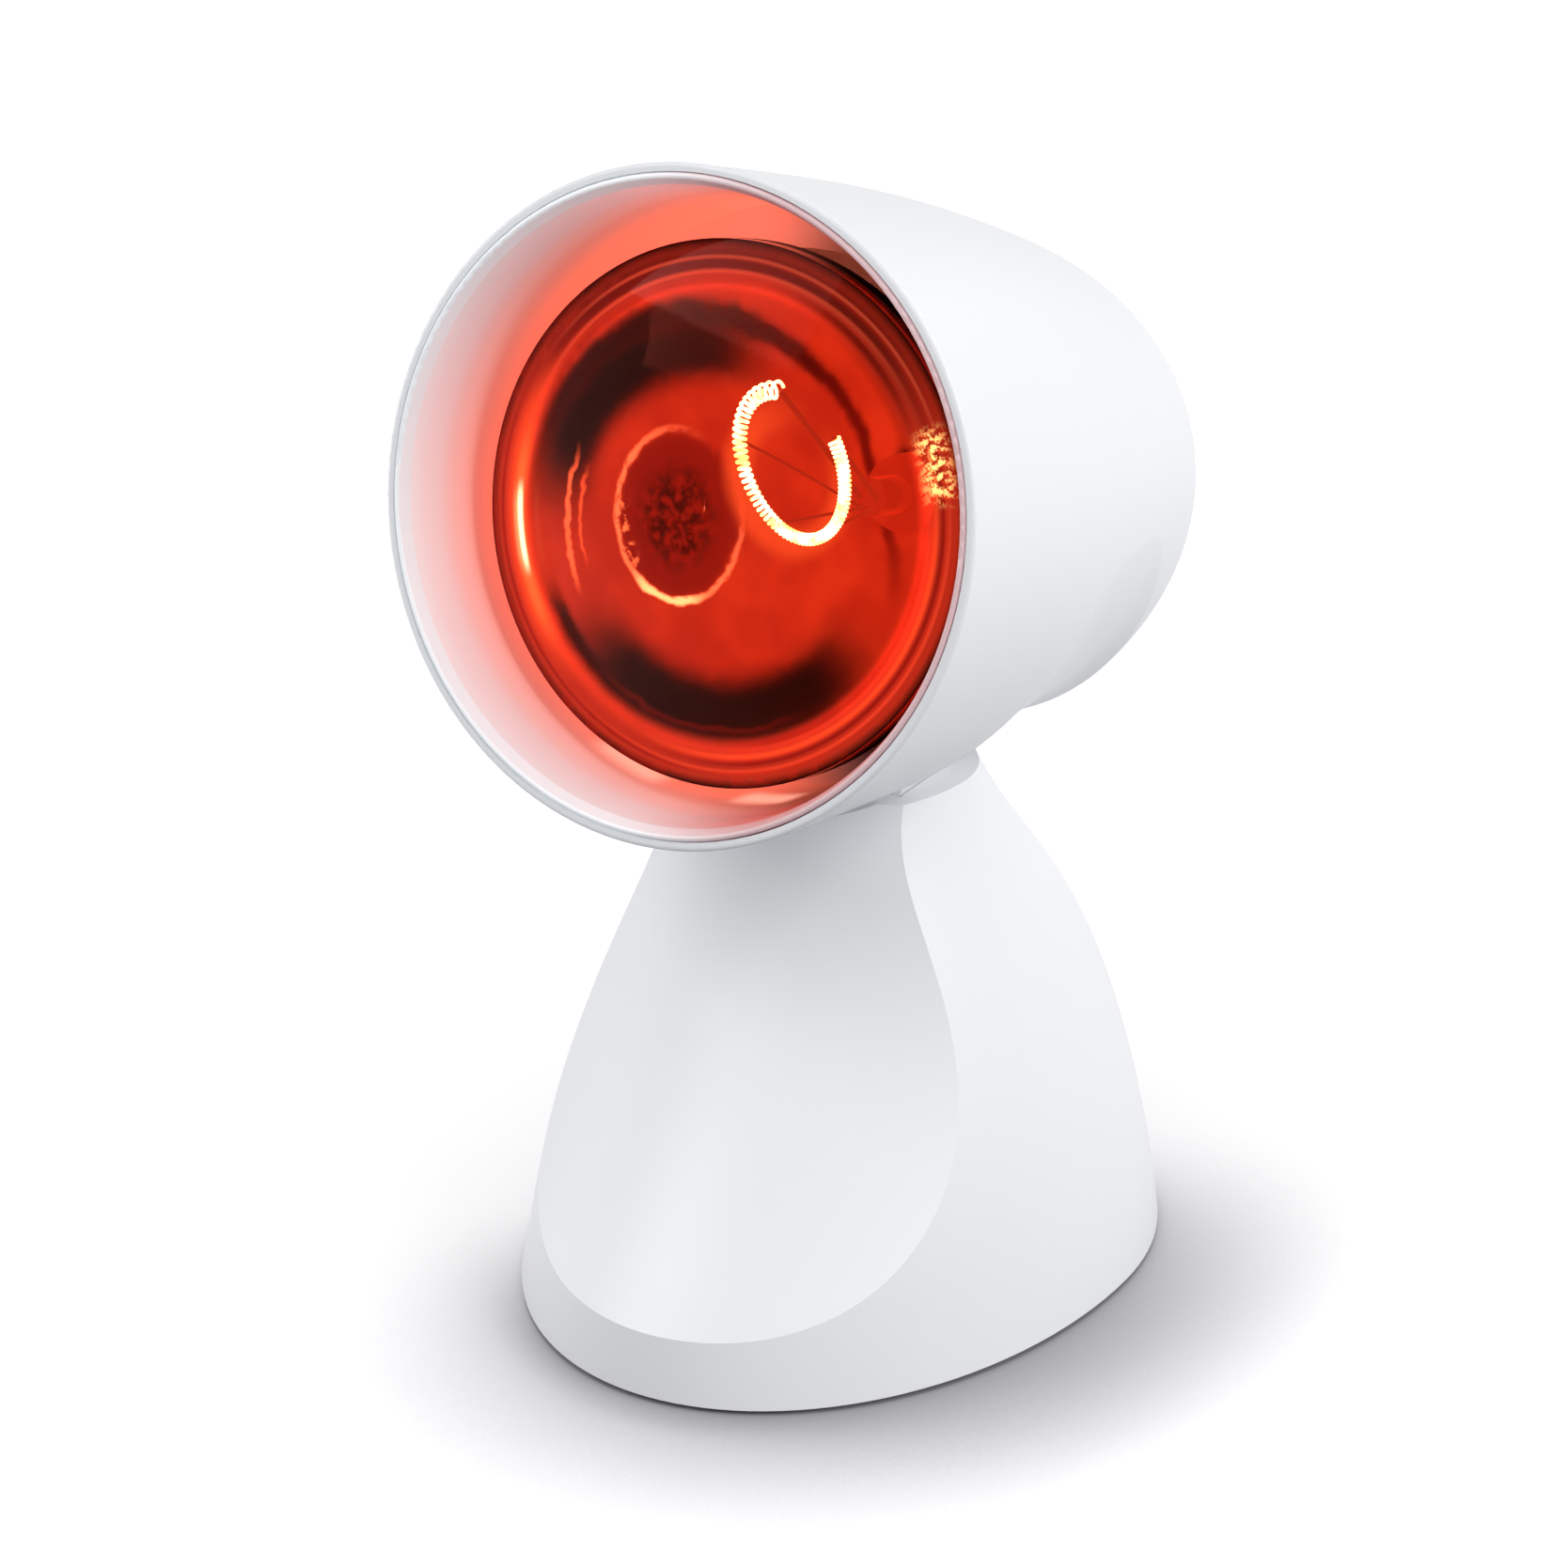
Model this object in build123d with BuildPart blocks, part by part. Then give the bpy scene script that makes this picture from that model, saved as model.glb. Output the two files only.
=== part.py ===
from build123d import *
import os
from math import cos, radians, sin, tan

# Infrared heat lamp on a domed stand. Sizes are in millimetres.
# The lamp faces -Y, +Z is up and it stands on z = 0.
# The origin is the middle of the whole lamp seen from above, which is behind the stand's own middle.

# ---- stand: ovals stacked one over another, each a front and a back half ellipse ----
stand_y = -16.2
stand_bottom = 1.2
stand_top = 131.0
#            level         half width  widest at y  front depth  back depth
stand_ovals = (
    (stand_bottom, 75.3, 14.0, 105.6, 78.7),
    (35.0, 68.0, 12.9, 99.1, 78.2),
    (70.0, 56.6, 6.3, 79.1, 77.1),
    (100.0, 45.0, 4.5, 58.6, 55.5),
    (stand_top, 36.0, -0.5, 41.4, 30.0),
)
stand_wall = 3.0

# ---- stand: the leaning front face, bowed outwards across its width ----
face_line = ((-6.0, -108.8), (40.0, -71.4), (80.0, -47.0), (105.0, -36.8), (140.0, -29.0))
face_bow = 0.0088
face_reach = 90.0
face_far = 200.0

# ---- tilt hinge ----
pivot_y = stand_y - 4.0
pivot_z = 114.5
tilt_up = 10.0
tilt_down = -10.0
tilt_step = 10.0
drum_radius = 21.0
drum_half = 27.0
drum_wall = 3.0
drum_core = 11.0
drum_gap = 0.7
wire_slot = 9.0
hub_radius = 7.0
axle_radius = 4.0
axle_play = 0.05
axle_half = 33.5
axle_head = 6.5
axle_head_length = 3.0
axle_tail = 1.2
axle_nut = 6.5
washer_radius = 9.0
washer_gap = 0.35

# ---- shade: a blunt egg, its axis tilted up at the mouth ----
shade_tilt = 12.0
mouth_ahead = 73.5
mouth_y = stand_y - mouth_ahead
mouth_z = 211.5
shade_line = (
    (0.0, 74.2), (40.0, 72.3), (80.0, 69.1), (120.0, 63.5), (150.0, 57.2),
    (170.0, 49.4), (186.0, 38.6), (196.0, 23.5), (200.0, 0.0),
)
shade_lead = 12.0
shade_flare = 0.4
egg_steps = 16
shade_wall = 2.0
mouth_round = 1.0
saddle_gap = 0.8
saddle_wall = 2.4
# The nape is a shallow waist low down behind the mouth, where the shade meets the stand: its outline
# is turned about an axis that lies a little above the shade's own, so it fades out at the sides.
nape_line = ((50.0, 78.5), (80.0, 70.5), (108.0, 65.9), (125.0, 63.6), (145.0, 65.6))
nape_lift = 5.2
nape_steps = 8


# ---- shade fittings ----
seat_screws = ((77.0, 64.4), (94.0, 61.4))
seat_screw_turn = 12.0
seat_screw_radius = 2.0
seat_screw_length = 9.0
seat_head_radius = 3.5
seat_head_height = 2.2
seat_room = 4.2
cable_back = 11.0
cable_hole = 4.4
cable_bore = 3.4
cable_rise = 22.5
vent_spread = (-24.0, -16.0, -8.0, 0.0, 8.0, 16.0, 24.0)
vent_width = 3.0
vent_length = 26.0
vent_depth = 186.0

# ---- liner inside the mouth ----
liner_back = 58.0
liner_inset = 6.6
liner_outer = shade_line[0][1] - liner_inset
liner_sheet = 1.4
lip_step = 3.0
lip_ledge = 1.0
lip_inset = 2.3
lip_outer = shade_line[0][1] - lip_inset
lip_depth = 0.4
lip_radius = 0.7

# ---- reflector bulb: 121.4 mm across, and clear of the liner below it ----
bulb_drop = 2.6
bulb_room = 2.9
bulb_radius = liner_outer - liner_sheet - bulb_drop - bulb_room
baffle_under = 4.7
baffle_inner = bulb_radius - baffle_under
lens_front = 15.5
lens_edge = 23.0
lens_rim = 27.0
lens_thick = 3.2
lens_lean = 0.25
bowl_rim = 31.0
bowl_wall = 3.0
bowl_line = ((55.0, 52.5), (80.0, 38.5), (97.0, 21.0))
neck_line = ((106.0, 16.0), (119.0, 13.2))
cap_front = neck_line[-1][0]
cap_length = 26.5
cap_back = cap_front + cap_length
cap_radius = 13.2
cap_sheet = 0.5
cap_rib = 0.7
cap_pitch = 3.62
cap_ribs = 6
tip_gap = 4.0
tip_front = cap_back + tip_gap
tip_length = 2.3
tip_back = tip_front + tip_length
tip_radius = 4.6
tip_crown = 0.8
tip_chamfer = 1.5
ring_sink = 2.0
ring_lap = 1.5
ring_hole = 1.5
coil_depth = 54.5
coil_long = 18.2
coil_wide = 13.0
coil_rise = 10.1
coil_lean = 35.0
coil_turn = 57.0
coil_wire = 1.1
coil_gap = 66.0
coil_steps = 12
post_radius = 0.8
coil_hooks = (110.0, 180.0, 250.0)
hook_spread = 0.03
hook_radius = 0.4
stem_radius = 5.0
stem_front = 98.0
stem_flare = 8.0
stem_fuse = 2.0

# ---- lampholder and the three-armed bridge that carries it ----
bridge_thick = 2.5
bridge_ring = 30.0
arm_width = 12.0
arm_turns = (-90.0, 30.0, 150.0)
arm_screw_out = 45.0
arm_boss = 5.0
arm_boss_back = 174.0
arm_boss_length = 21.5
bridge_depth = arm_boss_back - arm_boss_length - bridge_thick
arm_screw_radius = 1.75
arm_screw_length = 13.0
arm_head_radius = 3.4
arm_head_height = 2.0
holder_reach = 9.0
holder_front = cap_front + holder_reach
holder_radius = 20.0
holder_fit = 0.15
holder_flange = 26.0
holder_flange_thick = 4.0
holder_room = 14.4
contact_length = 2.2
thread_play = 0.1
holder_floor = tip_back + contact_length
holder_base = 21.0
holder_back = holder_floor + holder_base
holder_screw_out = 23.3
holder_screw_radius = 1.25
holder_screw_length = 5.5
holder_head_radius = 2.2
holder_head_height = 1.4
terminal_out = 9.0
terminal_size = 7.0

# ---- fixings under the stand ----
boss_places = ((-50.0, 58.0), (50.0, 58.0), (-58.0, -32.0), (58.0, -32.0))
boss_radius = 5.0
boss_top = 34.0
plate_bottom = 1.6
plate_thick = 3.4
plate_gap = 0.2
case_screw_radius = 1.75
case_screw_length = 15.0
case_head_radius = 3.5
case_head_height = 2.0
feet = ((-50.0, -42.0), (50.0, -42.0), (-46.0, 38.0), (46.0, 38.0))
foot_radius = 7.0
foot_sunk = 1.4

# ---- ballast and the yoke that carries the hinge ----
ballast_width = 100.0
ballast_front = -62.0
ballast_back = 30.0
ballast_thick = 8.0
ballast_corner = 12.0
yoke_inner = 28.0
yoke_sheet = 3.0
yoke_front = -34.0
yoke_back = 20.0
yoke_head = 11.0
web_back = 15.0
web_top = 80.0
yoke_screws = ((-16.0, -24.0), (16.0, -24.0), (-16.0, 3.0), (16.0, 3.0))
yoke_screw_radius = 2.0
yoke_head_radius = 3.8
yoke_head_height = 2.4
ballast_screws = ((-42.0, -52.0), (42.0, -52.0), (-42.0, 22.0), (42.0, 22.0))

# ---- detent: a sprung ball facing a row of dimples in the drum's end ----
detent_drop = 15.0
ball_radius = 2.0
ball_gap = 0.35
dimple_radius = 1.1
dimple_depth = 0.8
barrel_radius = 4.0
barrel_bore = 2.05
barrel_length = 10.0
barrel_end = 1.0
detent_wire = 0.3
spring_play = 0.05
detent_coils = 4.5

# ---- rear pad with the rocker switch and the cable inlet ----
pad_y = 92.9
pad_half = 15.0
pad_low = 5.6
pad_high = 41.0
pad_depth = 4.0
pad_corner = 4.0
switch_z = 28.5
bezel_half = 11.5
bezel_high = 8.5
bezel_round = 1.5
bezel_thick = 1.6
case_half = 10.6
case_high = 7.4
case_wall = 1.2
case_depth = 19.0
case_fit = 0.1
rocker_half = 8.6
rocker_high = 5.7
rocker_face = 3.4
rocker_dip = 2.2
rocker_belly = 5.0
rocker_in = 1.0
case_gap = 0.5
rocker_throw = 7.0
trunnion_radius = 1.0
trunnion_play = 0.05
trunnion_reach = 6.8
blade_out = 5.0
blade_size = (4.8, 0.8, 8.0)
inlet_z = 12.5
inlet_radius = 4.6
inlet_flange = 6.2
inlet_bore = 3.2
inlet_out = 1.8
inlet_clear = 2.0

# ---- inside wiring ----
block_y = 46.0
block_size = (30.0, 14.0, 12.0)
block_screws = (-9.0, 0.0, 9.0)
block_screw_radius = 2.0
lead_radius = 1.1
lead_apart = 1.4
lead_clear = 0.1
bend_share = 0.45

forward = Vector(0, cos(radians(shade_tilt)), -sin(radians(shade_tilt)))
inward = Vector(0, sin(radians(shade_tilt)), cos(radians(shade_tilt)))
mouth = Vector(0, mouth_y, mouth_z)
# In this plane local x runs back from the mouth along the shade's axis and local y is the radius.
turn_plane = Plane(origin=mouth, x_dir=forward, z_dir=(1, 0, 0))
turn_axis = Axis(mouth, forward)
# The bulb hangs a little below the shade's axis, and so do its lampholder and the bridge.
lamp_middle = mouth - inward * bulb_drop
lamp_plane = Plane(origin=lamp_middle, x_dir=forward, z_dir=(1, 0, 0))
lamp_axis = Axis(lamp_middle, forward)
# A positive turn about this axis lifts the mouth.
tilt_axis = Axis((0, pivot_y, pivot_z), (-1, 0, 0))


def mouth_plane(depth):
    # Square to the shade's axis, a given depth behind the mouth: local x is +X.
    return Plane(origin=mouth + forward * depth, x_dir=(1, 0, 0), z_dir=forward)


def lamp_plane_at(depth):
    # The same about the bulb's axis.
    return Plane(origin=lamp_middle + forward * depth, x_dir=(1, 0, 0), z_dir=forward)


def egg_points(grow):
    # Points along the shade's outline, each moved out square to it by a distance.
    start = Vector(-shade_lead, shade_line[0][1] + shade_flare)
    line = Edge.make_spline([start, *[Vector(*point) for point in shade_line]],
                            tangents=[Vector(1, 0), Vector(0, -1)])
    return moved_out(line, grow, egg_steps)


def moved_out(line, grow, steps):
    # Points along an outline, each moved out square to it by a distance.
    points = []
    for step in range(steps + 1):
        place, along = line @ (step / steps), line % (step / steps)
        points.append((place.X - along.Y * grow, place.Y + along.X * grow))
    return points


def shade_egg(grow):
    # The shade's outer shape as a solid, grown outwards or shrunk inwards by a distance.
    points = egg_points(grow)
    with BuildPart() as egg:
        with BuildSketch(turn_plane):
            with BuildLine():
                Spline(*points, tangents=((1, 0), (0, -1)))
                Polyline(points[-1], (points[0][0], 0), points[0])
            make_face()
        revolve(axis=turn_axis)
        add(nape_room(grow), mode=Mode.SUBTRACT)
    return egg.part


def nape_room(grow):
    # The space below the nape, moved out by the same distance as the shade.
    line = Edge.make_spline([Vector(*point) for point in nape_line])
    points = [(depth, radius + nape_lift) for depth, radius in moved_out(line, grow, nape_steps)]
    far = 2 * points[0][1]
    with BuildPart() as room:
        with BuildSketch(turn_plane):
            with BuildLine():
                Spline(*points)
                Polyline(points[-1], (points[-1][0], far), (points[0][0], far), points[0])
            make_face()
        revolve(axis=Axis(mouth + inward * nape_lift, forward))
    return room.part


def stand_solid(inset):
    with BuildPart() as solid:
        for level, half_width, widest, front, back in stand_ovals:
            with BuildSketch(Plane.XY.offset(level)):
                with BuildLine():
                    middle = (0, stand_y + widest)
                    EllipticalCenterArc(middle, half_width - inset, back - inset, start_angle=0, arc_size=180)
                    EllipticalCenterArc(middle, half_width - inset, front - inset, start_angle=180, arc_size=180)
                make_face()
        loft()
    return solid.part


def before_face(inset):
    # The space in front of the leaning face, moved back by an inset.
    with BuildPart() as space:
        for level, y in face_line:
            with BuildSketch(Plane.XY.offset(level)):
                with BuildLine():
                    crest = stand_y + y + inset
                    bow = face_bow * face_reach ** 2
                    Bezier((-face_reach, crest + bow), (0, crest - bow), (face_reach, crest + bow))
                    Polyline((face_reach, crest + bow), (face_reach, -face_far),
                             (-face_reach, -face_far), (-face_reach, crest + bow))
                make_face()
        loft()
    return space.part



plate_top = plate_bottom + plate_thick
ballast_top = plate_top + ballast_thick


def in_shade(depth, down, across):
    # A point inside the shade: depth behind the mouth, distance below the bulb's axis, distance to +X.
    return lamp_middle + forward * depth - inward * down + Vector(across, 0, 0)


def tube(plane, outer, inner, length):
    with BuildPart() as ring:
        with BuildSketch(plane):
            Circle(outer)
            if inner:
                Circle(inner, mode=Mode.SUBTRACT)
        extrude(amount=length)
    return ring.part


def box(low, high):
    with BuildPart() as block:
        with BuildSketch(Plane.XY.offset(low[2])):
            with Locations(((low[0] + high[0]) / 2, (low[1] + high[1]) / 2)):
                Rectangle(high[0] - low[0], high[1] - low[1])
        extrude(amount=high[2] - low[2])
    return block.part


def turned(*outline):
    # A solid of revolution about the shade's axis from (depth, radius) corners.
    with BuildPart() as solid:
        with BuildSketch(lamp_plane):
            with BuildLine():
                Polyline(*outline, close=True)
            make_face()
        revolve(axis=lamp_axis)
    return solid.part


def wire(radius, *points):
    # A lead along straight runs joined by arcs as large as the runs allow.
    runs = [end - start for start, end in zip(points, points[1:])]
    bends = [bend_share * min(before.length, after.length) / tan(radians(before.get_angle(after)) / 2)
             for before, after in zip(runs, runs[1:])]
    with BuildPart() as solid:
        with BuildLine() as run:
            FilletPolyline(*points, radius=bends)
        with BuildSketch(Plane(origin=points[0], z_dir=runs[0])):
            Circle(radius)
        sweep(path=run.wire())
    return solid.part


def ball(x, radius):
    # A ball level with the detent, below the tilt axis.
    with BuildPart() as solid:
        with Locations((x, pivot_y, pivot_z - detent_drop)):
            Sphere(radius)
    return solid.part


def joined(*shapes):
    with BuildPart() as whole:
        for shape in shapes:
            add(shape)
    return whole.part


def less(shape, *cuts):
    with BuildPart() as rest:
        add(shape)
        for cut in cuts:
            add(cut, mode=Mode.SUBTRACT)
    return rest.part


def save(name, shape):
    shape.label = name
    export_step(shape, "parts/" + name + ".step")


def upright(x, y, z):
    # A plane facing up at a point given from the stand's own middle.
    return Plane(origin=(x, stand_y + y, z))


def across_at(x, drop=0):
    # A plane facing +X on the tilt axis, or a drop below it.
    return Plane(origin=(x, pivot_y, pivot_z - drop), x_dir=(0, 1, 0), z_dir=(1, 0, 0))


def facing_back(x, y, z):
    # A plane facing +Y at a point given from the stand's own middle.
    return Plane(origin=(x, stand_y + y, z), x_dir=(-1, 0, 0), z_dir=(0, 1, 0))


def seat_screw_plane(depth, height, turn):
    # Where a neck screw's head meets the shade: local z points outwards, down into the drum.
    out = Vector(sin(radians(turn)), 0, 0) - inward * cos(radians(turn))
    return Plane(origin=mouth + forward * depth + out * height, x_dir=forward, z_dir=out)


def seat_screw_planes():
    return [seat_screw_plane(depth, height, turn)
            for depth, height in seat_screws for turn in (-seat_screw_turn, seat_screw_turn)]


def arm_planes(depth):
    return [lamp_plane_at(depth) * Location((arm_screw_out * cos(radians(turn)),
                                           arm_screw_out * sin(radians(turn)), 0)) for turn in arm_turns]


def screw(plane, radius, length, head_radius, head_height):
    # The plane is the face under the head, its local z the way the shank points.
    return joined(tube(plane, radius, 0, length), tube(plane, head_radius, 0, -head_height))


# ---- head: the shade and its liner ----
def make_shade_shell():
    room = less(shade_egg(-shade_wall),
                *[tube(plane, arm_boss, 0, arm_boss_back - bridge_depth - bridge_thick)
                  for plane in arm_planes(bridge_depth + bridge_thick)])
    with BuildPart() as shell:
        add(shade_egg(0))
        add(room, mode=Mode.SUBTRACT)
        with BuildSketch(mouth_plane(0)):
            Circle(2 * shade_line[0][1])
        extrude(amount=-2 * shade_lead, mode=Mode.SUBTRACT)
        add(mouth_corner(), mode=Mode.SUBTRACT)
        for plane in seat_screw_planes():
            add(tube(plane, seat_screw_radius, 0, seat_screw_length), mode=Mode.SUBTRACT)
            add(tube(plane, seat_room, 0, -seat_room), mode=Mode.SUBTRACT)
        for plane in arm_planes(bridge_depth + bridge_thick):
            add(tube(plane, arm_screw_radius, 0, arm_screw_length), mode=Mode.SUBTRACT)
        add(cable_way(cable_hole), mode=Mode.SUBTRACT)
        with BuildSketch(mouth_plane(vent_depth)):
            with Locations(*[(x, 0) for x in vent_spread]):
                SlotOverall(vent_length, vent_width, rotation=90)
        extrude(amount=shade_line[-1][0] - vent_depth + 1, mode=Mode.SUBTRACT)
    return shell.part


def mouth_corner():
    # The sharp outer corner of the mouth, left outside a quarter round.
    radius = shade_line[0][1]
    flat = mouth_round * (1 - cos(radians(45)))
    with BuildPart() as corner:
        with BuildSketch(turn_plane):
            with BuildLine():
                ThreePointArc((0, radius - mouth_round), (flat, radius - flat), (mouth_round, radius))
                Polyline((mouth_round, radius), (mouth_round, radius + 1), (-1, radius + 1),
                         (-1, radius - mouth_round), (0, radius - mouth_round))
            make_face()
        revolve(axis=turn_axis)
    return corner.part


def cable_way(radius):
    return tube(Plane(origin=(0, pivot_y + cable_back, pivot_z + drum_core - 1)), radius, 0,
                cable_rise - drum_core)


def make_shade_liner():
    with BuildPart() as liner:
        with BuildSketch(turn_plane):
            with BuildLine():
                Polyline((lip_depth, lip_outer), (lip_step, lip_outer), (lip_step, lip_outer - lip_ledge),
                         (liner_back, liner_outer), (liner_back, baffle_inner),
                         (liner_back - liner_sheet, baffle_inner),
                         (liner_back - liner_sheet, liner_outer - liner_sheet),
                         (lip_step, lip_outer - lip_ledge - liner_sheet),
                         (lip_depth, lip_outer - 2 * lip_radius), close=True)
            make_face()
            with Locations((lip_depth, lip_outer - lip_radius)):
                Circle(lip_radius)
        revolve(axis=turn_axis)
    return liner.part


# ---- head: the bulb ----
def make_bulb_lens():
    with BuildPart() as lens:
        with BuildSketch(lamp_plane):
            with BuildLine():
                edge = bulb_radius - bowl_wall
                half = bulb_radius / 2
                bulge = (lens_front * 3 + lens_edge) / 4
                Spline((lens_front, 0), (bulge, half), (lens_edge, bulb_radius),
                       tangents=((0, 1), (lens_lean, 1)))
                Polyline((lens_edge, bulb_radius), (lens_rim, bulb_radius), (lens_rim, edge))
                Spline((lens_rim, edge), (bulge + lens_thick, half), (lens_front + lens_thick, 0),
                       tangents=((-lens_lean, -1), (0, -1)))
                Line((lens_front + lens_thick, 0), (lens_front, 0))
            make_face()
        revolve(axis=lamp_axis)
    return lens.part


def make_bulb_bowl():
    inner = [(depth - bowl_wall / 2, radius - bowl_wall) for depth, radius in bowl_line]
    throat = [(depth, radius - bowl_wall) for depth, radius in neck_line]
    with BuildPart() as bowl:
        with BuildSketch(lamp_plane):
            with BuildLine():
                Polyline((lens_rim, bulb_radius - bowl_wall), (lens_rim, bulb_radius), (bowl_rim, bulb_radius))
                Spline((bowl_rim, bulb_radius), *bowl_line, *neck_line)
                Line(neck_line[-1], throat[-1])
                Spline(throat[-1], *throat[-2::-1], *inner[::-1], (lens_rim, bulb_radius - bowl_wall))
            make_face()
        revolve(axis=lamp_axis)
    return bowl.part


def make_bulb_cap():
    ridge = [(cap_front, cap_radius)]
    for turn in range(cap_ribs):
        start = cap_front + 3 + turn * cap_pitch
        ridge += [(start, cap_radius - cap_rib), (start + cap_pitch / 2, cap_radius)]
    inside = cap_radius - cap_rib - cap_sheet
    ridge += [(cap_back, cap_radius - cap_rib), (cap_back, inside), (cap_front, inside)]
    return turned(*ridge)


def make_bulb_tip_ring():
    inside = cap_radius - cap_rib - cap_sheet
    return turned((cap_back - ring_sink, inside), (cap_back, inside), (tip_front, tip_radius + ring_lap),
                  (tip_front, ring_hole), (cap_back - ring_sink, ring_hole))


def make_bulb_tip():
    return turned((tip_front, 0), (tip_front, tip_radius), (tip_back - tip_crown, tip_radius),
                  (tip_back, tip_radius - tip_chamfer), (tip_back, 0))


def coil_end(side):
    return coil_point(side * coil_gap / 2)


def coil_point(turn):
    # A point on the coil's leaning oval, turned away from the middle of the gap between its ends.
    angle, lean = radians(coil_turn + turn), radians(coil_lean)
    along, across = coil_long * cos(angle), coil_wide * sin(angle)
    height = along * cos(lean) + across * sin(lean)
    return in_shade(coil_depth, -coil_rise - height, across * cos(lean) - along * sin(lean))


def make_bulb_coil():
    turns = [coil_gap / 2 + step * (360 - coil_gap) / coil_steps for step in range(coil_steps + 1)]
    with BuildPart() as coil:
        with BuildLine() as run:
            Spline(*[coil_point(turn) for turn in turns])
        path = run.line.edges()[0]
        with BuildSketch(Plane(origin=path @ 0, z_dir=path % 0)):
            Circle(coil_wire)
        sweep(path=path)
    return coil.part


def make_bulb_posts():
    posts = []
    for side in (-1, 1):
        foot = in_shade(stem_front, 0, side * stem_radius / 2)
        posts.append(rod(foot, coil_end(side), post_radius))
    for turn in coil_hooks:
        foot = in_shade(stem_front, stem_radius / 2, (180 - turn) * hook_spread)
        posts.append(rod(foot, coil_point(turn), hook_radius))
    return less(joined(*posts), make_bulb_coil(), make_bulb_stem())


def rod(start, end, radius):
    along = end - start
    return tube(Plane(origin=start, z_dir=along), radius, 0, along.length)


def make_bulb_stem():
    back = neck_line[-1][0]
    throat = neck_line[-1][1] - bowl_wall
    return turned((stem_front, 0), (stem_front, stem_radius), (back - stem_flare, stem_radius),
                  (back - stem_fuse, throat), (back, throat), (back, 0))


# ---- head: lampholder ----
def make_holder_bridge():
    with BuildPart() as bridge:
        with BuildSketch(lamp_plane_at(bridge_depth)):
            Circle(bridge_ring)
            with Locations(*[Location((0, 0, 0), (0, 0, turn)) for turn in arm_turns]):
                Rectangle(shade_line[0][1], arm_width, align=(Align.MIN, Align.CENTER))
            Circle(holder_radius + holder_fit, mode=Mode.SUBTRACT)
            with Locations((-holder_screw_out, 0), (holder_screw_out, 0)):
                Circle(holder_screw_radius, mode=Mode.SUBTRACT)
        extrude(amount=bridge_thick)
        add(shade_egg(-shade_wall), mode=Mode.INTERSECT)
        for plane in arm_planes(bridge_depth):
            add(tube(plane, arm_screw_radius, 0, bridge_thick), mode=Mode.SUBTRACT)
    return bridge.part


def make_holder_body():
    seat = bridge_depth + bridge_thick
    body = turned((holder_front, holder_room), (holder_front, holder_radius), (seat, holder_radius),
                  (seat, holder_flange), (seat + holder_flange_thick, holder_flange),
                  (seat + holder_flange_thick, holder_radius), (holder_back, holder_radius),
                  (holder_back, 0), (holder_floor, 0), (holder_floor, holder_room))
    return less(body, *[tube(plane, holder_screw_radius, 0, holder_screw_length) for plane in holder_screws()])


def holder_screws():
    return [lamp_plane_at(bridge_depth) * Location((side * holder_screw_out, 0, 0)) for side in (-1, 1)]


def make_holder_sleeve():
    front = holder_front + 1
    back = tip_front
    ribs = cap_radius + thread_play
    return turned((front, ribs), (front, holder_room), (back, holder_room), (back, ribs))


def make_holder_contact():
    return turned((tip_back, 0), (tip_back, tip_radius), (holder_floor, tip_radius + 2), (holder_floor, 0))


def terminal_planes(depth):
    return [lamp_plane_at(depth) * Location((side * terminal_out, 0, 0)) for side in (-1, 1)]


def make_holder_terminals():
    blocks = []
    for plane in terminal_planes(holder_back):
        with BuildPart() as block:
            with BuildSketch(plane):
                Rectangle(terminal_size, terminal_size)
            extrude(amount=terminal_size - 2)
        blocks.append(block.part)
    return joined(*blocks)


# ---- head: the drum that the shade stands on ----
def make_neck_drum():
    hollow = less(tube(across_at(drum_wall - drum_half), drum_radius - drum_wall, hub_radius,
                       2 * (drum_half - drum_wall)),
                  box((-drum_half, pivot_y - drum_radius, pivot_z + drum_core),
                      (drum_half, pivot_y + drum_radius, pivot_z + drum_radius)))
    dimple = tube(across_at(-drum_half, detent_drop), dimple_radius, 0, dimple_depth)
    steps = range(int(tilt_down), int(tilt_up) + 1, int(tilt_step))
    return less(tube(across_at(-drum_half), drum_radius, 0, 2 * drum_half),
                shade_egg(0), hollow,
                tube(across_at(-drum_half), axle_radius + axle_play, 0, 2 * drum_half),
                cable_way(cable_hole),
                box((-wire_slot, pivot_y - wire_slot, pivot_z - drum_radius),
                    (wire_slot, pivot_y + wire_slot, pivot_z - hub_radius - 2)),
                *[tube(plane, seat_screw_radius, 0, seat_screw_length) for plane in seat_screw_planes()],
                *[dimple.rotate(tilt_axis, step) for step in steps])


def make_cable_sleeve():
    return less(cable_way(cable_hole), cable_way(cable_bore))


# ---- stand: shell, plate, feet and fixings ----
def rear_pad(corner):
    with BuildPart() as pad:
        with BuildSketch(facing_back(0, pad_y - pad_depth, 0)):
            with Locations((0, (pad_low + pad_high) / 2)):
                RectangleRounded(2 * pad_half, pad_high - pad_low, corner)
        extrude(amount=pad_depth)
    return pad.part


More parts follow.
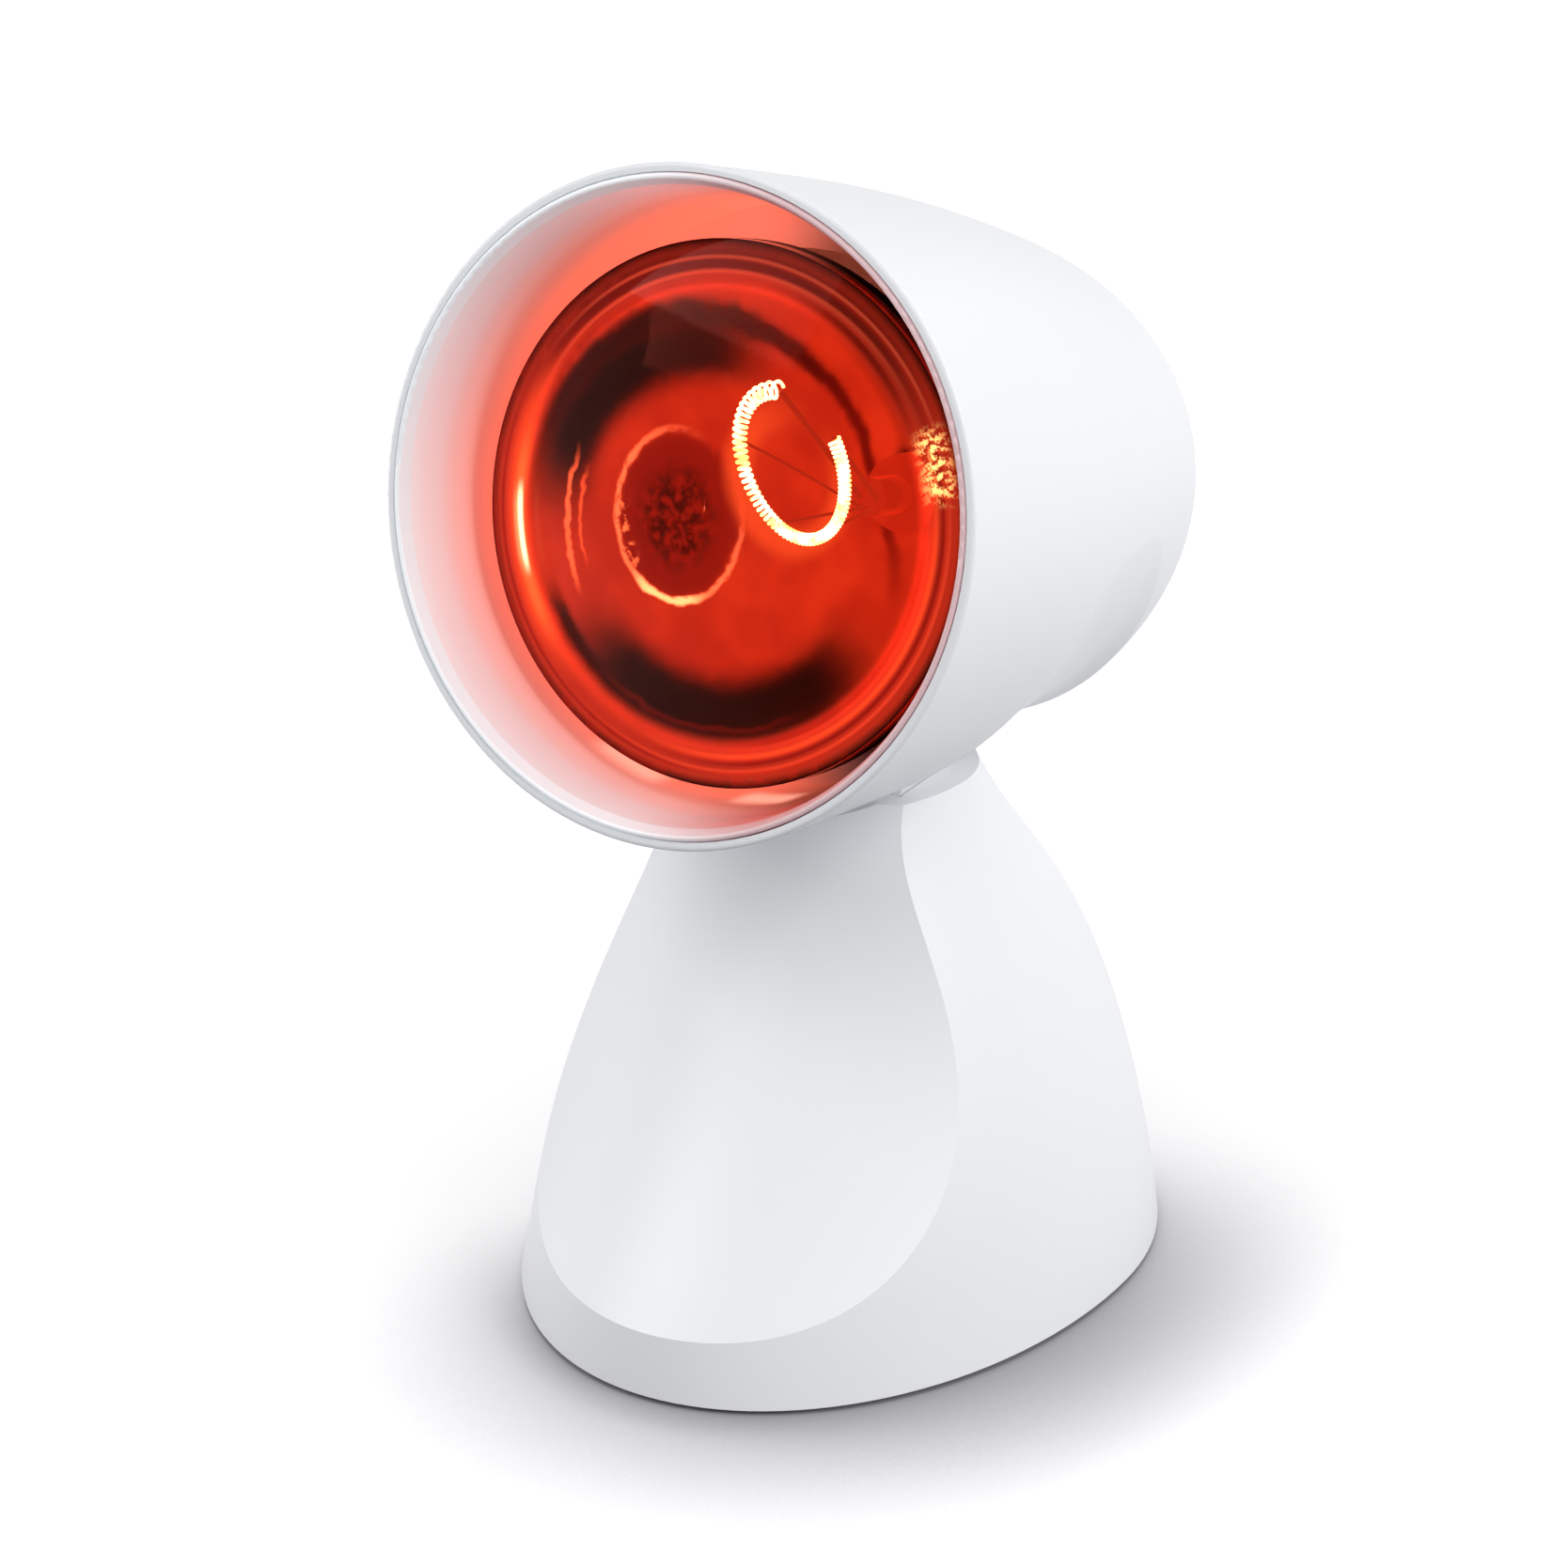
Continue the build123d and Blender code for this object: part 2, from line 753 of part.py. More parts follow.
def make_stand_shell():
    cradle = shade_egg(saddle_gap)
    ceiling = shade_egg(saddle_gap + saddle_wall)
    bosses = [tube(upright(x, y, plate_top), boss_radius, 0, boss_top - plate_top) for x, y in boss_places]
    with BuildPart() as room:
        add(stand_solid(stand_wall))
        add(before_face(stand_wall), mode=Mode.SUBTRACT)
        for angle in (tilt_down, 0, tilt_up):
            add(ceiling.rotate(tilt_axis, angle), mode=Mode.SUBTRACT)
        add(tube(Plane.XY.offset(stand_top - saddle_wall), face_far, 0, face_far), mode=Mode.SUBTRACT)
        add(joined(*bosses), mode=Mode.SUBTRACT)
        add(rear_pad(pad_corner), mode=Mode.SUBTRACT)
    with BuildPart() as shell:
        add(stand_solid(0))
        add(before_face(0), mode=Mode.SUBTRACT)
        add(rear_pad(pad_corner))
        for angle in (tilt_down, 0, tilt_up):
            add(cradle.rotate(tilt_axis, angle), mode=Mode.SUBTRACT)
        add(room.part, mode=Mode.SUBTRACT)
        drum_room = tube(across_at(-drum_half - drum_gap), drum_radius + drum_gap, 0, 2 * (drum_half + drum_gap))
        add(drum_room, mode=Mode.SUBTRACT)
        for x, y in boss_places:
            add(tube(upright(x, y, plate_top), case_screw_radius, 0, case_screw_length), mode=Mode.SUBTRACT)
        with BuildSketch(facing_back(0, pad_y - pad_depth - stand_wall, 0)):
            with Locations((0, switch_z)):
                Rectangle(2 * (case_half + case_fit), 2 * (case_high + case_fit))
            with Locations((0, inlet_z)):
                Circle(inlet_radius)
        extrude(amount=pad_depth + 2 * stand_wall, mode=Mode.SUBTRACT)
    return shell.part


def make_base_plate():
    with BuildPart() as plate:
        with BuildSketch(Plane.XY.offset(plate_bottom)):
            Rectangle(2 * face_far, 2 * face_far)
        extrude(amount=plate_thick)
        add(stand_solid(stand_wall + plate_gap), mode=Mode.INTERSECT)
        for x, y in boss_places:
            add(tube(upright(x, y, plate_bottom), case_screw_radius, 0, plate_thick), mode=Mode.SUBTRACT)
            add(tube(upright(x, y, plate_bottom), case_head_radius, 0, case_head_height), mode=Mode.SUBTRACT)
        for x, y in feet:
            add(tube(upright(x, y, plate_bottom), foot_radius, 0, foot_sunk), mode=Mode.SUBTRACT)
        for x, y in ballast_screws:
            add(tube(upright(x, y, plate_bottom), yoke_screw_radius, 0, plate_thick), mode=Mode.SUBTRACT)
    return plate.part


def make_feet():
    with BuildPart() as pads:
        for x, y in feet:
            with BuildSketch(upright(x, y, 0)):
                Circle(foot_radius)
            extrude(amount=plate_bottom + foot_sunk)
    return pads.part


def make_case_screws():
    return joined(*[screw(upright(x, y, plate_bottom + case_head_height), case_screw_radius,
                          case_screw_length, case_head_radius, case_head_height) for x, y in boss_places])


def make_ballast():
    with BuildPart() as slab:
        with BuildSketch(upright(0, (ballast_front + ballast_back) / 2, plate_top)):
            RectangleRounded(ballast_width, ballast_back - ballast_front, ballast_corner)
        extrude(amount=ballast_thick)
        for x, y in ballast_screws + yoke_screws:
            add(tube(upright(x, y, plate_top), yoke_screw_radius, 0, ballast_thick), mode=Mode.SUBTRACT)
    return slab.part


def make_ballast_screws():
    length = ballast_thick + plate_thick
    return joined(*[screw(down_at(x, y, ballast_top), yoke_screw_radius, length, yoke_head_radius,
                          yoke_head_height) for x, y in ballast_screws])


def down_at(x, y, z):
    return Plane(origin=(x, stand_y + y, z), x_dir=(1, 0, 0), z_dir=(0, 0, -1))


def make_yoke():
    outer = yoke_inner + yoke_sheet
    floor_top = ballast_top + yoke_sheet
    base = box((-outer, stand_y + yoke_front, ballast_top), (outer, stand_y + yoke_back, floor_top))
    web = box((-yoke_inner, stand_y + web_back - yoke_sheet, floor_top),
              (yoke_inner, stand_y + web_back, web_top))
    cheeks = []
    for x in (-outer, yoke_inner):
        with BuildPart() as cheek:
            with BuildSketch(Plane(origin=(x, 0, 0), x_dir=(0, 1, 0), z_dir=(1, 0, 0))):
                with Locations((pivot_y, pivot_z)):
                    Circle(yoke_head)
                with BuildLine():
                    Polyline((stand_y + yoke_front, floor_top), (stand_y + yoke_back, floor_top),
                             (pivot_y + yoke_head, pivot_z), (pivot_y - yoke_head, pivot_z), close=True)
                make_face()
                with Locations((pivot_y, pivot_z)):
                    Circle(axle_radius, mode=Mode.SUBTRACT)
            extrude(amount=yoke_sheet)
        cheeks.append(cheek.part)
    holes = [tube(upright(x, y, ballast_top), yoke_screw_radius, 0, yoke_sheet) for x, y in yoke_screws]
    barrel_hole = tube(across_at(-outer, detent_drop), barrel_radius, 0, yoke_sheet)
    return less(joined(base, web, *cheeks), *holes, barrel_hole)


def make_yoke_screws():
    return joined(*[screw(down_at(x, y, ballast_top + yoke_sheet), yoke_screw_radius,
                          ballast_thick + yoke_sheet, yoke_head_radius, yoke_head_height) for x, y in yoke_screws])


# ---- stand: hinge fittings ----
def make_axle():
    outer = yoke_inner + yoke_sheet
    return joined(tube(across_at(-outer), axle_radius, 0, outer + axle_half + axle_tail),
                  hexagon(-outer - axle_head_length, axle_head, 0, axle_head_length))


def hexagon(x, radius, bore, length):
    with BuildPart() as solid:
        with BuildSketch(across_at(x)):
            RegularPolygon(radius, 6)
            if bore:
                Circle(bore, mode=Mode.SUBTRACT)
        extrude(amount=length)
    return solid.part


def make_axle_nut():
    start = yoke_inner + yoke_sheet
    return hexagon(start, axle_nut, axle_radius, axle_half - start + axle_tail / 2)


def make_washers():
    start = drum_half + washer_gap
    thick = yoke_inner - start
    return joined(tube(across_at(start), washer_radius, axle_radius, thick),
                  tube(across_at(-yoke_inner), washer_radius, axle_radius, thick))


def make_detent_barrel():
    end = -yoke_inner - barrel_length
    return joined(tube(across_at(end, detent_drop), barrel_radius, barrel_bore, barrel_length),
                  tube(across_at(end - barrel_end, detent_drop), barrel_radius, 0, barrel_end))


def make_detent_ball():
    return ball(-drum_half - ball_gap - ball_radius, ball_radius)


def make_detent_spring():
    ball_back = drum_half + ball_gap + 2 * ball_radius
    end = yoke_inner + barrel_length
    rise = end - ball_back - 2 * detent_wire
    coil = barrel_bore - detent_wire - spring_play
    with BuildPart() as spring:
        with BuildLine() as run:
            Helix(pitch=rise / detent_coils, height=rise, radius=coil,
                  center=(detent_wire - end, pivot_y, pivot_z - detent_drop), direction=(1, 0, 0))
        path = run.line.edges()[0]
        with BuildSketch(Plane(origin=path @ 0, z_dir=path % 0)):
            Circle(detent_wire)
        sweep(path=path, is_frenet=True)
    return spring.part


# ---- stand: switch ----
def switch_level(y):
    return facing_back(0, y, switch_z)


def make_switch_case():
    with BuildPart() as case:
        with BuildSketch(switch_level(pad_y)):
            RectangleRounded(2 * bezel_half, 2 * bezel_high, bezel_round)
        extrude(amount=bezel_thick)
        with BuildSketch(switch_level(pad_y)):
            Rectangle(2 * case_half, 2 * case_high)
        extrude(amount=-case_depth)
        with BuildSketch(switch_level(pad_y - case_depth + case_wall)):
            Rectangle(2 * (case_half - case_wall), 2 * (rocker_high + case_gap))
        extrude(amount=case_depth + bezel_thick, mode=Mode.SUBTRACT)
        add(tube(rocker_plane(-trunnion_reach), trunnion_radius + trunnion_play, 0, 2 * trunnion_reach),
            mode=Mode.SUBTRACT)
    return case.part


def rocker_plane(z):
    # Square to the rocker's pin: local x is +X, local y is +Y.
    return Plane(origin=(0, stand_y + pad_y - rocker_in, switch_z + z))


def make_switch_rocker():
    with BuildPart() as rocker:
        with BuildSketch(rocker_plane(-rocker_high)):
            with BuildLine():
                Polyline((-rocker_half, 0), (-rocker_half, rocker_face), (0, rocker_dip),
                         (rocker_half, rocker_face), (rocker_half, 0), (0, -rocker_belly), close=True)
            make_face()
        extrude(amount=2 * rocker_high)
        add(tube(rocker_plane(-trunnion_reach), trunnion_radius, 0, 2 * trunnion_reach))
    return rocker.part.rotate(Axis((0, stand_y + pad_y - rocker_in, 0), (0, 0, 1)), rocker_throw)


def make_switch_blades():
    back = pad_y - case_depth
    width, thick, length = blade_size
    return joined(*[box((side * blade_out - thick / 2, stand_y + back - length, switch_z - width / 2),
                        (side * blade_out + thick / 2, stand_y + back, switch_z + width / 2))
                    for side in (-1, 1)])


# ---- stand: cable inlet and inside wiring ----
def make_cable_inlet():
    flange = tube(facing_back(0, pad_y, inlet_z), inlet_flange, inlet_bore, inlet_out)
    neck = tube(facing_back(0, pad_y - pad_depth, inlet_z), inlet_radius, inlet_bore, pad_depth)
    return joined(flange, neck)


def make_terminal_block():
    width, deep, high = block_size
    block = box((-width / 2, stand_y + block_y - deep / 2, plate_top),
                (width / 2, stand_y + block_y + deep / 2, plate_top + high))
    return less(block, *[tube(down_at(x, block_y, plate_top + high), block_screw_radius, 0, high / 2)
                         for x in block_screws])


def make_block_screws():
    high = plate_top + block_size[2]
    return joined(*[tube(upright(x, block_y, high / 2 + plate_top / 2), block_screw_radius, 0, high / 2 - 1)
                    for x in block_screws])


def from_stand(*points):
    return [Vector(x, stand_y + y, z) for x, y, z in points]


def make_supply_live():
    tip = pad_y - case_depth - blade_size[2]
    run = wire(lead_radius, *from_stand((-lead_apart, pad_y - pad_depth - inlet_clear, inlet_z), (-4, 78, inlet_z + 2),
                                        (-blade_out, tip - 6, switch_z - 3), (-blade_out, tip + 1, switch_z)))
    return less(run, make_switch_blades())


def make_supply_neutral():
    back = block_y + block_size[1] / 2
    run = wire(lead_radius, *from_stand((lead_apart, pad_y - pad_depth - inlet_clear, inlet_z), (3, 72, inlet_z - 1),
                                        (6, 60, plate_top + 5), (block_screws[2], back - 1, plate_top + 5)))
    return less(run, make_terminal_block())


def make_switched_live():
    tip = pad_y - case_depth - blade_size[2]
    back = block_y + block_size[1] / 2
    run = wire(lead_radius, *from_stand((blade_out, tip + 1, switch_z), (blade_out - 3, tip - 4, switch_z - 8),
                                        (-6, 57, plate_top + 6), (block_screws[0], back - 1, plate_top + 5)))
    return less(run, make_terminal_block(), make_switch_blades())


def riser(side):
    front = block_y - block_size[1] / 2
    clear = web_back + lead_radius + lead_clear
    run = wire(lead_radius, *from_stand((side * block_screws[2], front + 1, plate_top + 5),
                                        (side * 8, front - 9, plate_top + 11), (side * 6, clear, 40.0),
                                        (side * 3, clear, web_top - 2)))
    return less(run, make_terminal_block())


def make_riser_live():
    return riser(-1)


def make_riser_neutral():
    return riser(1)


def head_lead(side):
    way = [Vector(side * lead_apart, pivot_y + cable_back, pivot_z + rise) for rise in (-6, cable_rise + 12)]
    end = holder_back + terminal_size - 2 + lead_radius
    return wire(lead_radius, *way, in_shade(130, 47, side * 3), in_shade(160, 41, side * 5),
                in_shade(end, 22, side * terminal_out), in_shade(end, 2, side * terminal_out))


def make_lamp_live():
    return head_lead(-1)


def make_lamp_neutral():
    return head_lead(1)


os.makedirs("parts", exist_ok=True)
save("shade_shell", make_shade_shell())
save("shade_liner", make_shade_liner())
save("seat_screws", joined(*[screw(plane, seat_screw_radius, seat_screw_length, seat_head_radius,
                                   seat_head_height) for plane in seat_screw_planes()]))
save("bulb_lens", make_bulb_lens())
save("bulb_bowl", make_bulb_bowl())
save("bulb_cap", make_bulb_cap())
save("bulb_tip_ring", make_bulb_tip_ring())
save("bulb_tip", make_bulb_tip())
save("bulb_coil", make_bulb_coil())
save("bulb_posts", make_bulb_posts())
save("bulb_stem", make_bulb_stem())
save("holder_bridge", make_holder_bridge())
save("bridge_screws", joined(*[screw(plane, arm_screw_radius, arm_screw_length, arm_head_radius,
                                     arm_head_height) for plane in arm_planes(bridge_depth)]))
save("holder_body", make_holder_body())
save("holder_screws", joined(*[screw(plane, holder_screw_radius, holder_screw_length, holder_head_radius,
                                     holder_head_height) for plane in holder_screws()]))
save("holder_sleeve", make_holder_sleeve())
save("holder_contact", make_holder_contact())
save("holder_terminals", make_holder_terminals())
save("lamp_live", make_lamp_live())
save("lamp_neutral", make_lamp_neutral())
save("neck_drum", make_neck_drum())
save("cable_sleeve", make_cable_sleeve())
save("stand_shell", make_stand_shell())
save("base_plate", make_base_plate())
save("feet", make_feet())
save("case_screws", make_case_screws())
save("ballast", make_ballast())
save("ballast_screws", make_ballast_screws())
save("yoke", make_yoke())
save("yoke_screws", make_yoke_screws())
save("axle", make_axle())
save("axle_nut", make_axle_nut())
save("tilt_washers", make_washers())
save("detent_barrel", make_detent_barrel())
save("detent_ball", make_detent_ball())
save("detent_spring", make_detent_spring())
save("switch_case", make_switch_case())
save("switch_rocker", make_switch_rocker())
save("switch_blades", make_switch_blades())
save("cable_inlet", make_cable_inlet())
save("terminal_block", make_terminal_block())
save("block_screws", make_block_screws())
save("supply_live", make_supply_live())
save("supply_neutral", make_supply_neutral())
save("switched_live", make_switched_live())
save("riser_live", make_riser_live())
save("riser_neutral", make_riser_neutral())
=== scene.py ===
# %% [markdown]
# # A tilting infrared heat lamp
# The lamp has a white egg-shaped shade around a lit red reflector bulb. The shade tilts on
# a hinge inside a domed white stand with a leaning teardrop face. The engineering parts
# come in as fixed solids. Here they get their finishes, and the bulb gets a wound filament
# in place of the plain ring of wire.

# %% Load the frame
import math

import bmesh
import bpy
from mathutils import Matrix, Vector


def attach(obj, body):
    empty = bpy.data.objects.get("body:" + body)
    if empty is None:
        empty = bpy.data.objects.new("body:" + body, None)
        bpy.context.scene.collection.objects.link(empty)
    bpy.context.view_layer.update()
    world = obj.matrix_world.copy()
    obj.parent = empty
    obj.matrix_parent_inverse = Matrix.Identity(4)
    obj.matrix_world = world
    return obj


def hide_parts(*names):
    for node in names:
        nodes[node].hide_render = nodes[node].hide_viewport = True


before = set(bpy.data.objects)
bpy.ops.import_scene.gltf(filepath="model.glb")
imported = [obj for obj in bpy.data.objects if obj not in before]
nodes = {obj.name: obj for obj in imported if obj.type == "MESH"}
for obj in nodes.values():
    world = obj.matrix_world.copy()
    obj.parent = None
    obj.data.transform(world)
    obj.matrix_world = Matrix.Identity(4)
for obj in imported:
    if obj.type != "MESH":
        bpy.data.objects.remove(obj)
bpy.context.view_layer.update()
MM = 0.001
print("solids loaded:", len(nodes))

# %% [markdown]
# ## Where things are
# The bulb, liner and shade are all round about one axis, which rises 12 degrees towards
# the mouth. Most of what follows is worked out in that leaning frame: x to the side,
# depth back from the mouth, and height square to the axis. The mouth's middle is the one
# point that ties that frame to the lamp.

# %% The head's leaning frame
MOUTH = Vector((0.0, -89.7, 211.5)) * MM
LEAN = math.radians(12)
HEAD_FRAME = Matrix.Translation(MOUTH) @ Matrix.Rotation(-LEAN, 4, "X")


def in_head(side, depth, height):
    return HEAD_FRAME @ (Vector((side, depth, height)) * MM)


print("mouth at", [round(v, 4) for v in MOUTH])

# %% [markdown]
# ## Colours and nodes
# Colours are written as sRGB hex values, as a paint chart gives them, while Blender's
# sockets want linear light. One function turns one into the other. A second one adds a
# shader node of any kind, sets its properties, and fills its sockets: a node given as a
# value is linked from its first output, and anything else is set on the socket.


# %% Helpers for materials
def hex_linear(code):
    channels = [int(code[i:i + 2], 16) / 255 for i in (1, 3, 5)]
    linear = [c / 12.92 if c <= 0.04045 else ((c + 0.055) / 1.055) ** 2.4 for c in channels]
    return (*linear, 1.0)


def put(tree, kind, sockets=None, **settings):
    made = tree.nodes.new(kind)
    for name, value in settings.items():
        setattr(made, name, value)
    for socket, value in (sockets or {}).items():
        if isinstance(value, bpy.types.Node):
            value = value.outputs[0]
        if isinstance(value, bpy.types.NodeSocket):
            tree.links.new(value, made.inputs[socket])
        else:
            made.inputs[socket].default_value = value
    return made


def new_material(name):
    material = bpy.data.materials.new(name)
    material.use_nodes = True
    tree = material.node_tree
    shader = tree.nodes["Principled BSDF"]
    return material, tree, shader


def link(tree, start, end):
    tree.links.new(start, end)


def dress(material, *names):
    for name in names:
        nodes[name].data.materials.clear()
        nodes[name].data.materials.append(material)


print("one sRGB white in linear light:", hex_linear("#FFFFFF"))

# %% [markdown]
# ## White shells
# The shade, the stand and the drum of the hinge are injection-moulded ABS with a polished
# finish. It reads as a very clean, slightly cool white with soft broad highlights, so the
# colour stays just under white and the roughness is low but not mirror-like.
#
# A perfectly even gloss would look lifeless, so two sizes break it up: broad flow marks
# some 45 mm across change the gloss, and an orange peel of about a millimetre gives a
# faint relief.

# %% Polished white ABS
FLOW_MARK = 45.45
ORANGE_PEEL = 1.111
ABS_GLOSS = (0.36, 0.46)


def white_abs(name, colour):
    material, tree, shader = new_material(name)
    place = put(tree, "ShaderNodeTexCoord").outputs["Object"]
    flow = put(tree, "ShaderNodeTexNoise", {"Vector": place, "Scale": 1 / (FLOW_MARK * MM), "Detail": 2.0})
    gloss = put(tree, "ShaderNodeMapRange", {"Value": flow, "To Min": ABS_GLOSS[0], "To Max": ABS_GLOSS[1]})
    link(tree, gloss.outputs[0], shader.inputs["Roughness"])
    peel = put(tree, "ShaderNodeTexNoise", {"Vector": place, "Scale": 1 / (ORANGE_PEEL * MM), "Detail": 1.0})
    relief = put(tree, "ShaderNodeBump", {"Height": peel, "Strength": 0.04, "Distance": 0.2 * MM})
    link(tree, relief.outputs[0], shader.inputs["Normal"])
    shader.inputs["Base Color"].default_value = hex_linear(colour)
    shader.inputs["IOR"].default_value = 1.52
    return material


# The shade and the drum take a white a touch darker than the stand's, a slight painted shade that holds back
# the light where it falls strongest.
dress(white_abs("white_abs_polished", "#F1F3F6"), "shade_shell", "neck_drum")
dress(white_abs("white_abs_stand", "#F4F5F8"), "stand_shell")
print("white ABS on the shells")


# %% [markdown]
# ## Head coordinates inside a material
# A Mapping node turns the object coordinates into the leaning frame of the head, in
# millimetres: x is the side, y the depth behind the mouth and z the height. Radius and
# angle about the axis follow from these, which is all that a round lamp needs.


# %% Round coordinates
def head_axes(tree):
    place = put(tree, "ShaderNodeTexCoord").outputs["Object"]
    turned = HEAD_FRAME.inverted()
    mapped = put(tree, "ShaderNodeMapping", {
        "Vector": place, "Location": turned.translation * (1 / MM), "Rotation": (LEAN, 0, 0),
        "Scale": (1 / MM,) * 3}, vector_type="POINT")
    split = put(tree, "ShaderNodeSeparateXYZ", {"Vector": mapped})
    return split.outputs[0], split.outputs[1], split.outputs[2]


def ramp(tree, value, low, high, stops):
    ranged = put(tree, "ShaderNodeMapRange", {"Value": value, "From Min": low, "From Max": high})
    made = put(tree, "ShaderNodeValToRGB", {"Fac": ranged})
    made.color_ramp.interpolation = "EASE"
    elements = made.color_ramp.elements
    while len(elements) < len(stops):
        elements.new(0.5)
    for element, (place, colour) in zip(elements, stops):
        element.position = place
        element.color = hex_linear(colour)
    return made.outputs[0]


print("head axes lean", round(math.degrees(LEAN)), "degrees")

# %% [markdown]
# ## Soft arcs
# What is seen in a lit reflector bulb is a set of reflections: dark crescents where the
# mirror shows the unlit throat, bright arcs where it shows the filament. They could be
# painted on an image, but masks worked out from the shape stay sharp at any size.
#
# A mask is the product of soft steps. Each step goes from nothing to all while a value
# goes from its first number to its second. An arc is a mask with one step across it and
# one along it, from its radius, half width, middle angle and half span in degrees.


# %% Masks for arcs
def polar(tree, across, upward):
    squares = [put(tree, "ShaderNodeMath", {0: value, 1: 2}, operation="POWER") for value in (across, upward)]
    total = put(tree, "ShaderNodeMath", {0: squares[0], 1: squares[1]}, operation="ADD")
    distance = put(tree, "ShaderNodeMath", {0: total}, operation="SQRT")
    angle = put(tree, "ShaderNodeMath", {0: upward, 1: across}, operation="ARCTAN2")
    return distance, angle


def swing_from(tree, angle, turn):
    offset = put(tree, "ShaderNodeMath", {0: angle, 1: math.radians(turn)}, operation="SUBTRACT")
    wrapped = put(tree, "ShaderNodeMath", {0: offset, 1: -math.pi, 2: math.pi}, operation="WRAP")
    return put(tree, "ShaderNodeMath", {0: wrapped}, operation="ABSOLUTE")


def mask(tree, *steps):
    whole = None
    for value, nothing, full in steps:
        part = put(tree, "ShaderNodeMapRange", {"Value": value, "From Min": nothing, "From Max": full},
                   interpolation_type="SMOOTHSTEP")
        if whole is not None:
            part = put(tree, "ShaderNodeMath", {0: whole, 1: part}, operation="MULTIPLY")
        whole = part
    return whole


def arc(tree, radius, angle, middle, width, turn, span, *more):
    offset = put(tree, "ShaderNodeMath", {0: radius, 1: middle}, operation="SUBTRACT")
    away = put(tree, "ShaderNodeMath", {0: offset}, operation="ABSOLUTE")
    swing = swing_from(tree, angle, turn)
    reach = math.radians(span)
    return mask(tree, (away, width, 0.15 * width), (swing, reach, 0.45 * reach), *more)


print("masks ready")

# %% [markdown]
# ## Coats and mottle
# Stain and light are laid on in coats. Each coat is a colour seen through its mask, and
# the last one lies on top. A strength above 1 makes it glow brighter than its colour.
# Mottle is a cloudy noise in the flat drawing, sized in millimetres. Added to a radius, it
# makes a clean edge ragged, as the edge of a reflection in blown glass is.


# %% Coats and mottle
def coats(tree, below, *layers):
    for there, colour, strength in layers:
        red, green, blue, alpha = hex_linear(colour)
        lit = (red * strength, green * strength, blue * strength, alpha)
        below = put(tree, "ShaderNodeMix", {0: there, 6: below, 7: lit}, data_type="RGBA").outputs[2]
    return below


def mottle(tree, across, upward, size, detail):
    flat = put(tree, "ShaderNodeCombineXYZ", {0: across, 1: upward})
    return put(tree, "ShaderNodeTexNoise", {
        "Vector": flat, "Scale": 1 / size, "Detail": detail, "Roughness": 0.6})


def uneven(tree, value, grain, amount):
    offset = put(tree, "ShaderNodeMath", {0: grain, 1: 0.5}, operation="SUBTRACT")
    return put(tree, "ShaderNodeMath", {0: offset, 1: amount, 2: value}, operation="MULTIPLY_ADD")


print("coats ready")

# %% [markdown]
# ## The slant of the reflections
# The bulb hangs a little below the head's axis. SLANT says how far the drawing moves to
# the side and up for each millimetre behind the lens. It is one fixed direction on the
# object, chosen for someone who looks in from the front and right, so from elsewhere the
# drawing stays put where true reflections would move.

# %% Slanted drawing
BULB_DROP = 2.6
LENS_EDGE = 23.0
SLANT = (0.546, 0.2375)


def slanted(tree):
    side, depth, height = head_axes(tree)
    behind = put(tree, "ShaderNodeMath", {0: depth, 1: LENS_EDGE}, operation="SUBTRACT")
    raised = put(tree, "ShaderNodeMath", {0: height, 1: BULB_DROP}, operation="ADD")
    across = put(tree, "ShaderNodeMath", {0: behind, 1: SLANT[0], 2: side}, operation="MULTIPLY_ADD")
    upward = put(tree, "ShaderNodeMath", {0: behind, 1: SLANT[1], 2: raised}, operation="MULTIPLY_ADD")
    return across, upward


print("reflections slant by", SLANT, "for each mm behind the lens")

# %% [markdown]
# ## The liner
# The reflector ring inside the mouth is spun steel with white baked enamel. The bulb's red
# light and its shade are painted into the enamel's colour: near the bulb it is painted salmon
# to deep red, fading to a cool white at the lip. The side where the bulb shines past its rim
# is painted bright, the other is painted in its shadow, so two ramps along the depth are
# mixed by the angle about the axis.

# %% White enamel with the bulb's glow and shade painted in
LINER_DEPTH = 40
LIT_MIDDLE = 185
LIT_FULLY, LIT_NOT = 78, 112
liner_paint, tree, shader = new_material("white_enamel_painted_red_glow")
side, depth, height = head_axes(tree)
radius, angle = polar(tree, side, height)
# The base colour holds painted light and painted shade: a bright ramp for the side the bulb lights, a dark
# one for the side in its shadow.
painted_lit_side = ramp(tree, depth, 0, LINER_DEPTH, [
    (0.0, "#F6F2F5"), (0.25, "#F6E6E6"), (0.5, "#F8CECA"), (0.72, "#F8A498"), (1.0, "#F07A62")])
painted_shadow_side = ramp(tree, depth, 0, LINER_DEPTH, [
    (0.0, "#E9C9CC"), (0.18, "#D67B7B"), (0.4, "#A83434"), (0.7, "#681010"), (1.0, "#1C0202")])
swing = swing_from(tree, angle, LIT_MIDDLE)
lit = mask(tree, (swing, math.radians(LIT_NOT), math.radians(LIT_FULLY)))
painted_glow_and_shade = put(tree, "ShaderNodeMix", {0: lit, 6: painted_shadow_side, 7: painted_lit_side}, data_type="RGBA")
link(tree, painted_glow_and_shade.outputs[2], shader.inputs["Base Color"])
print("enamel tinted")
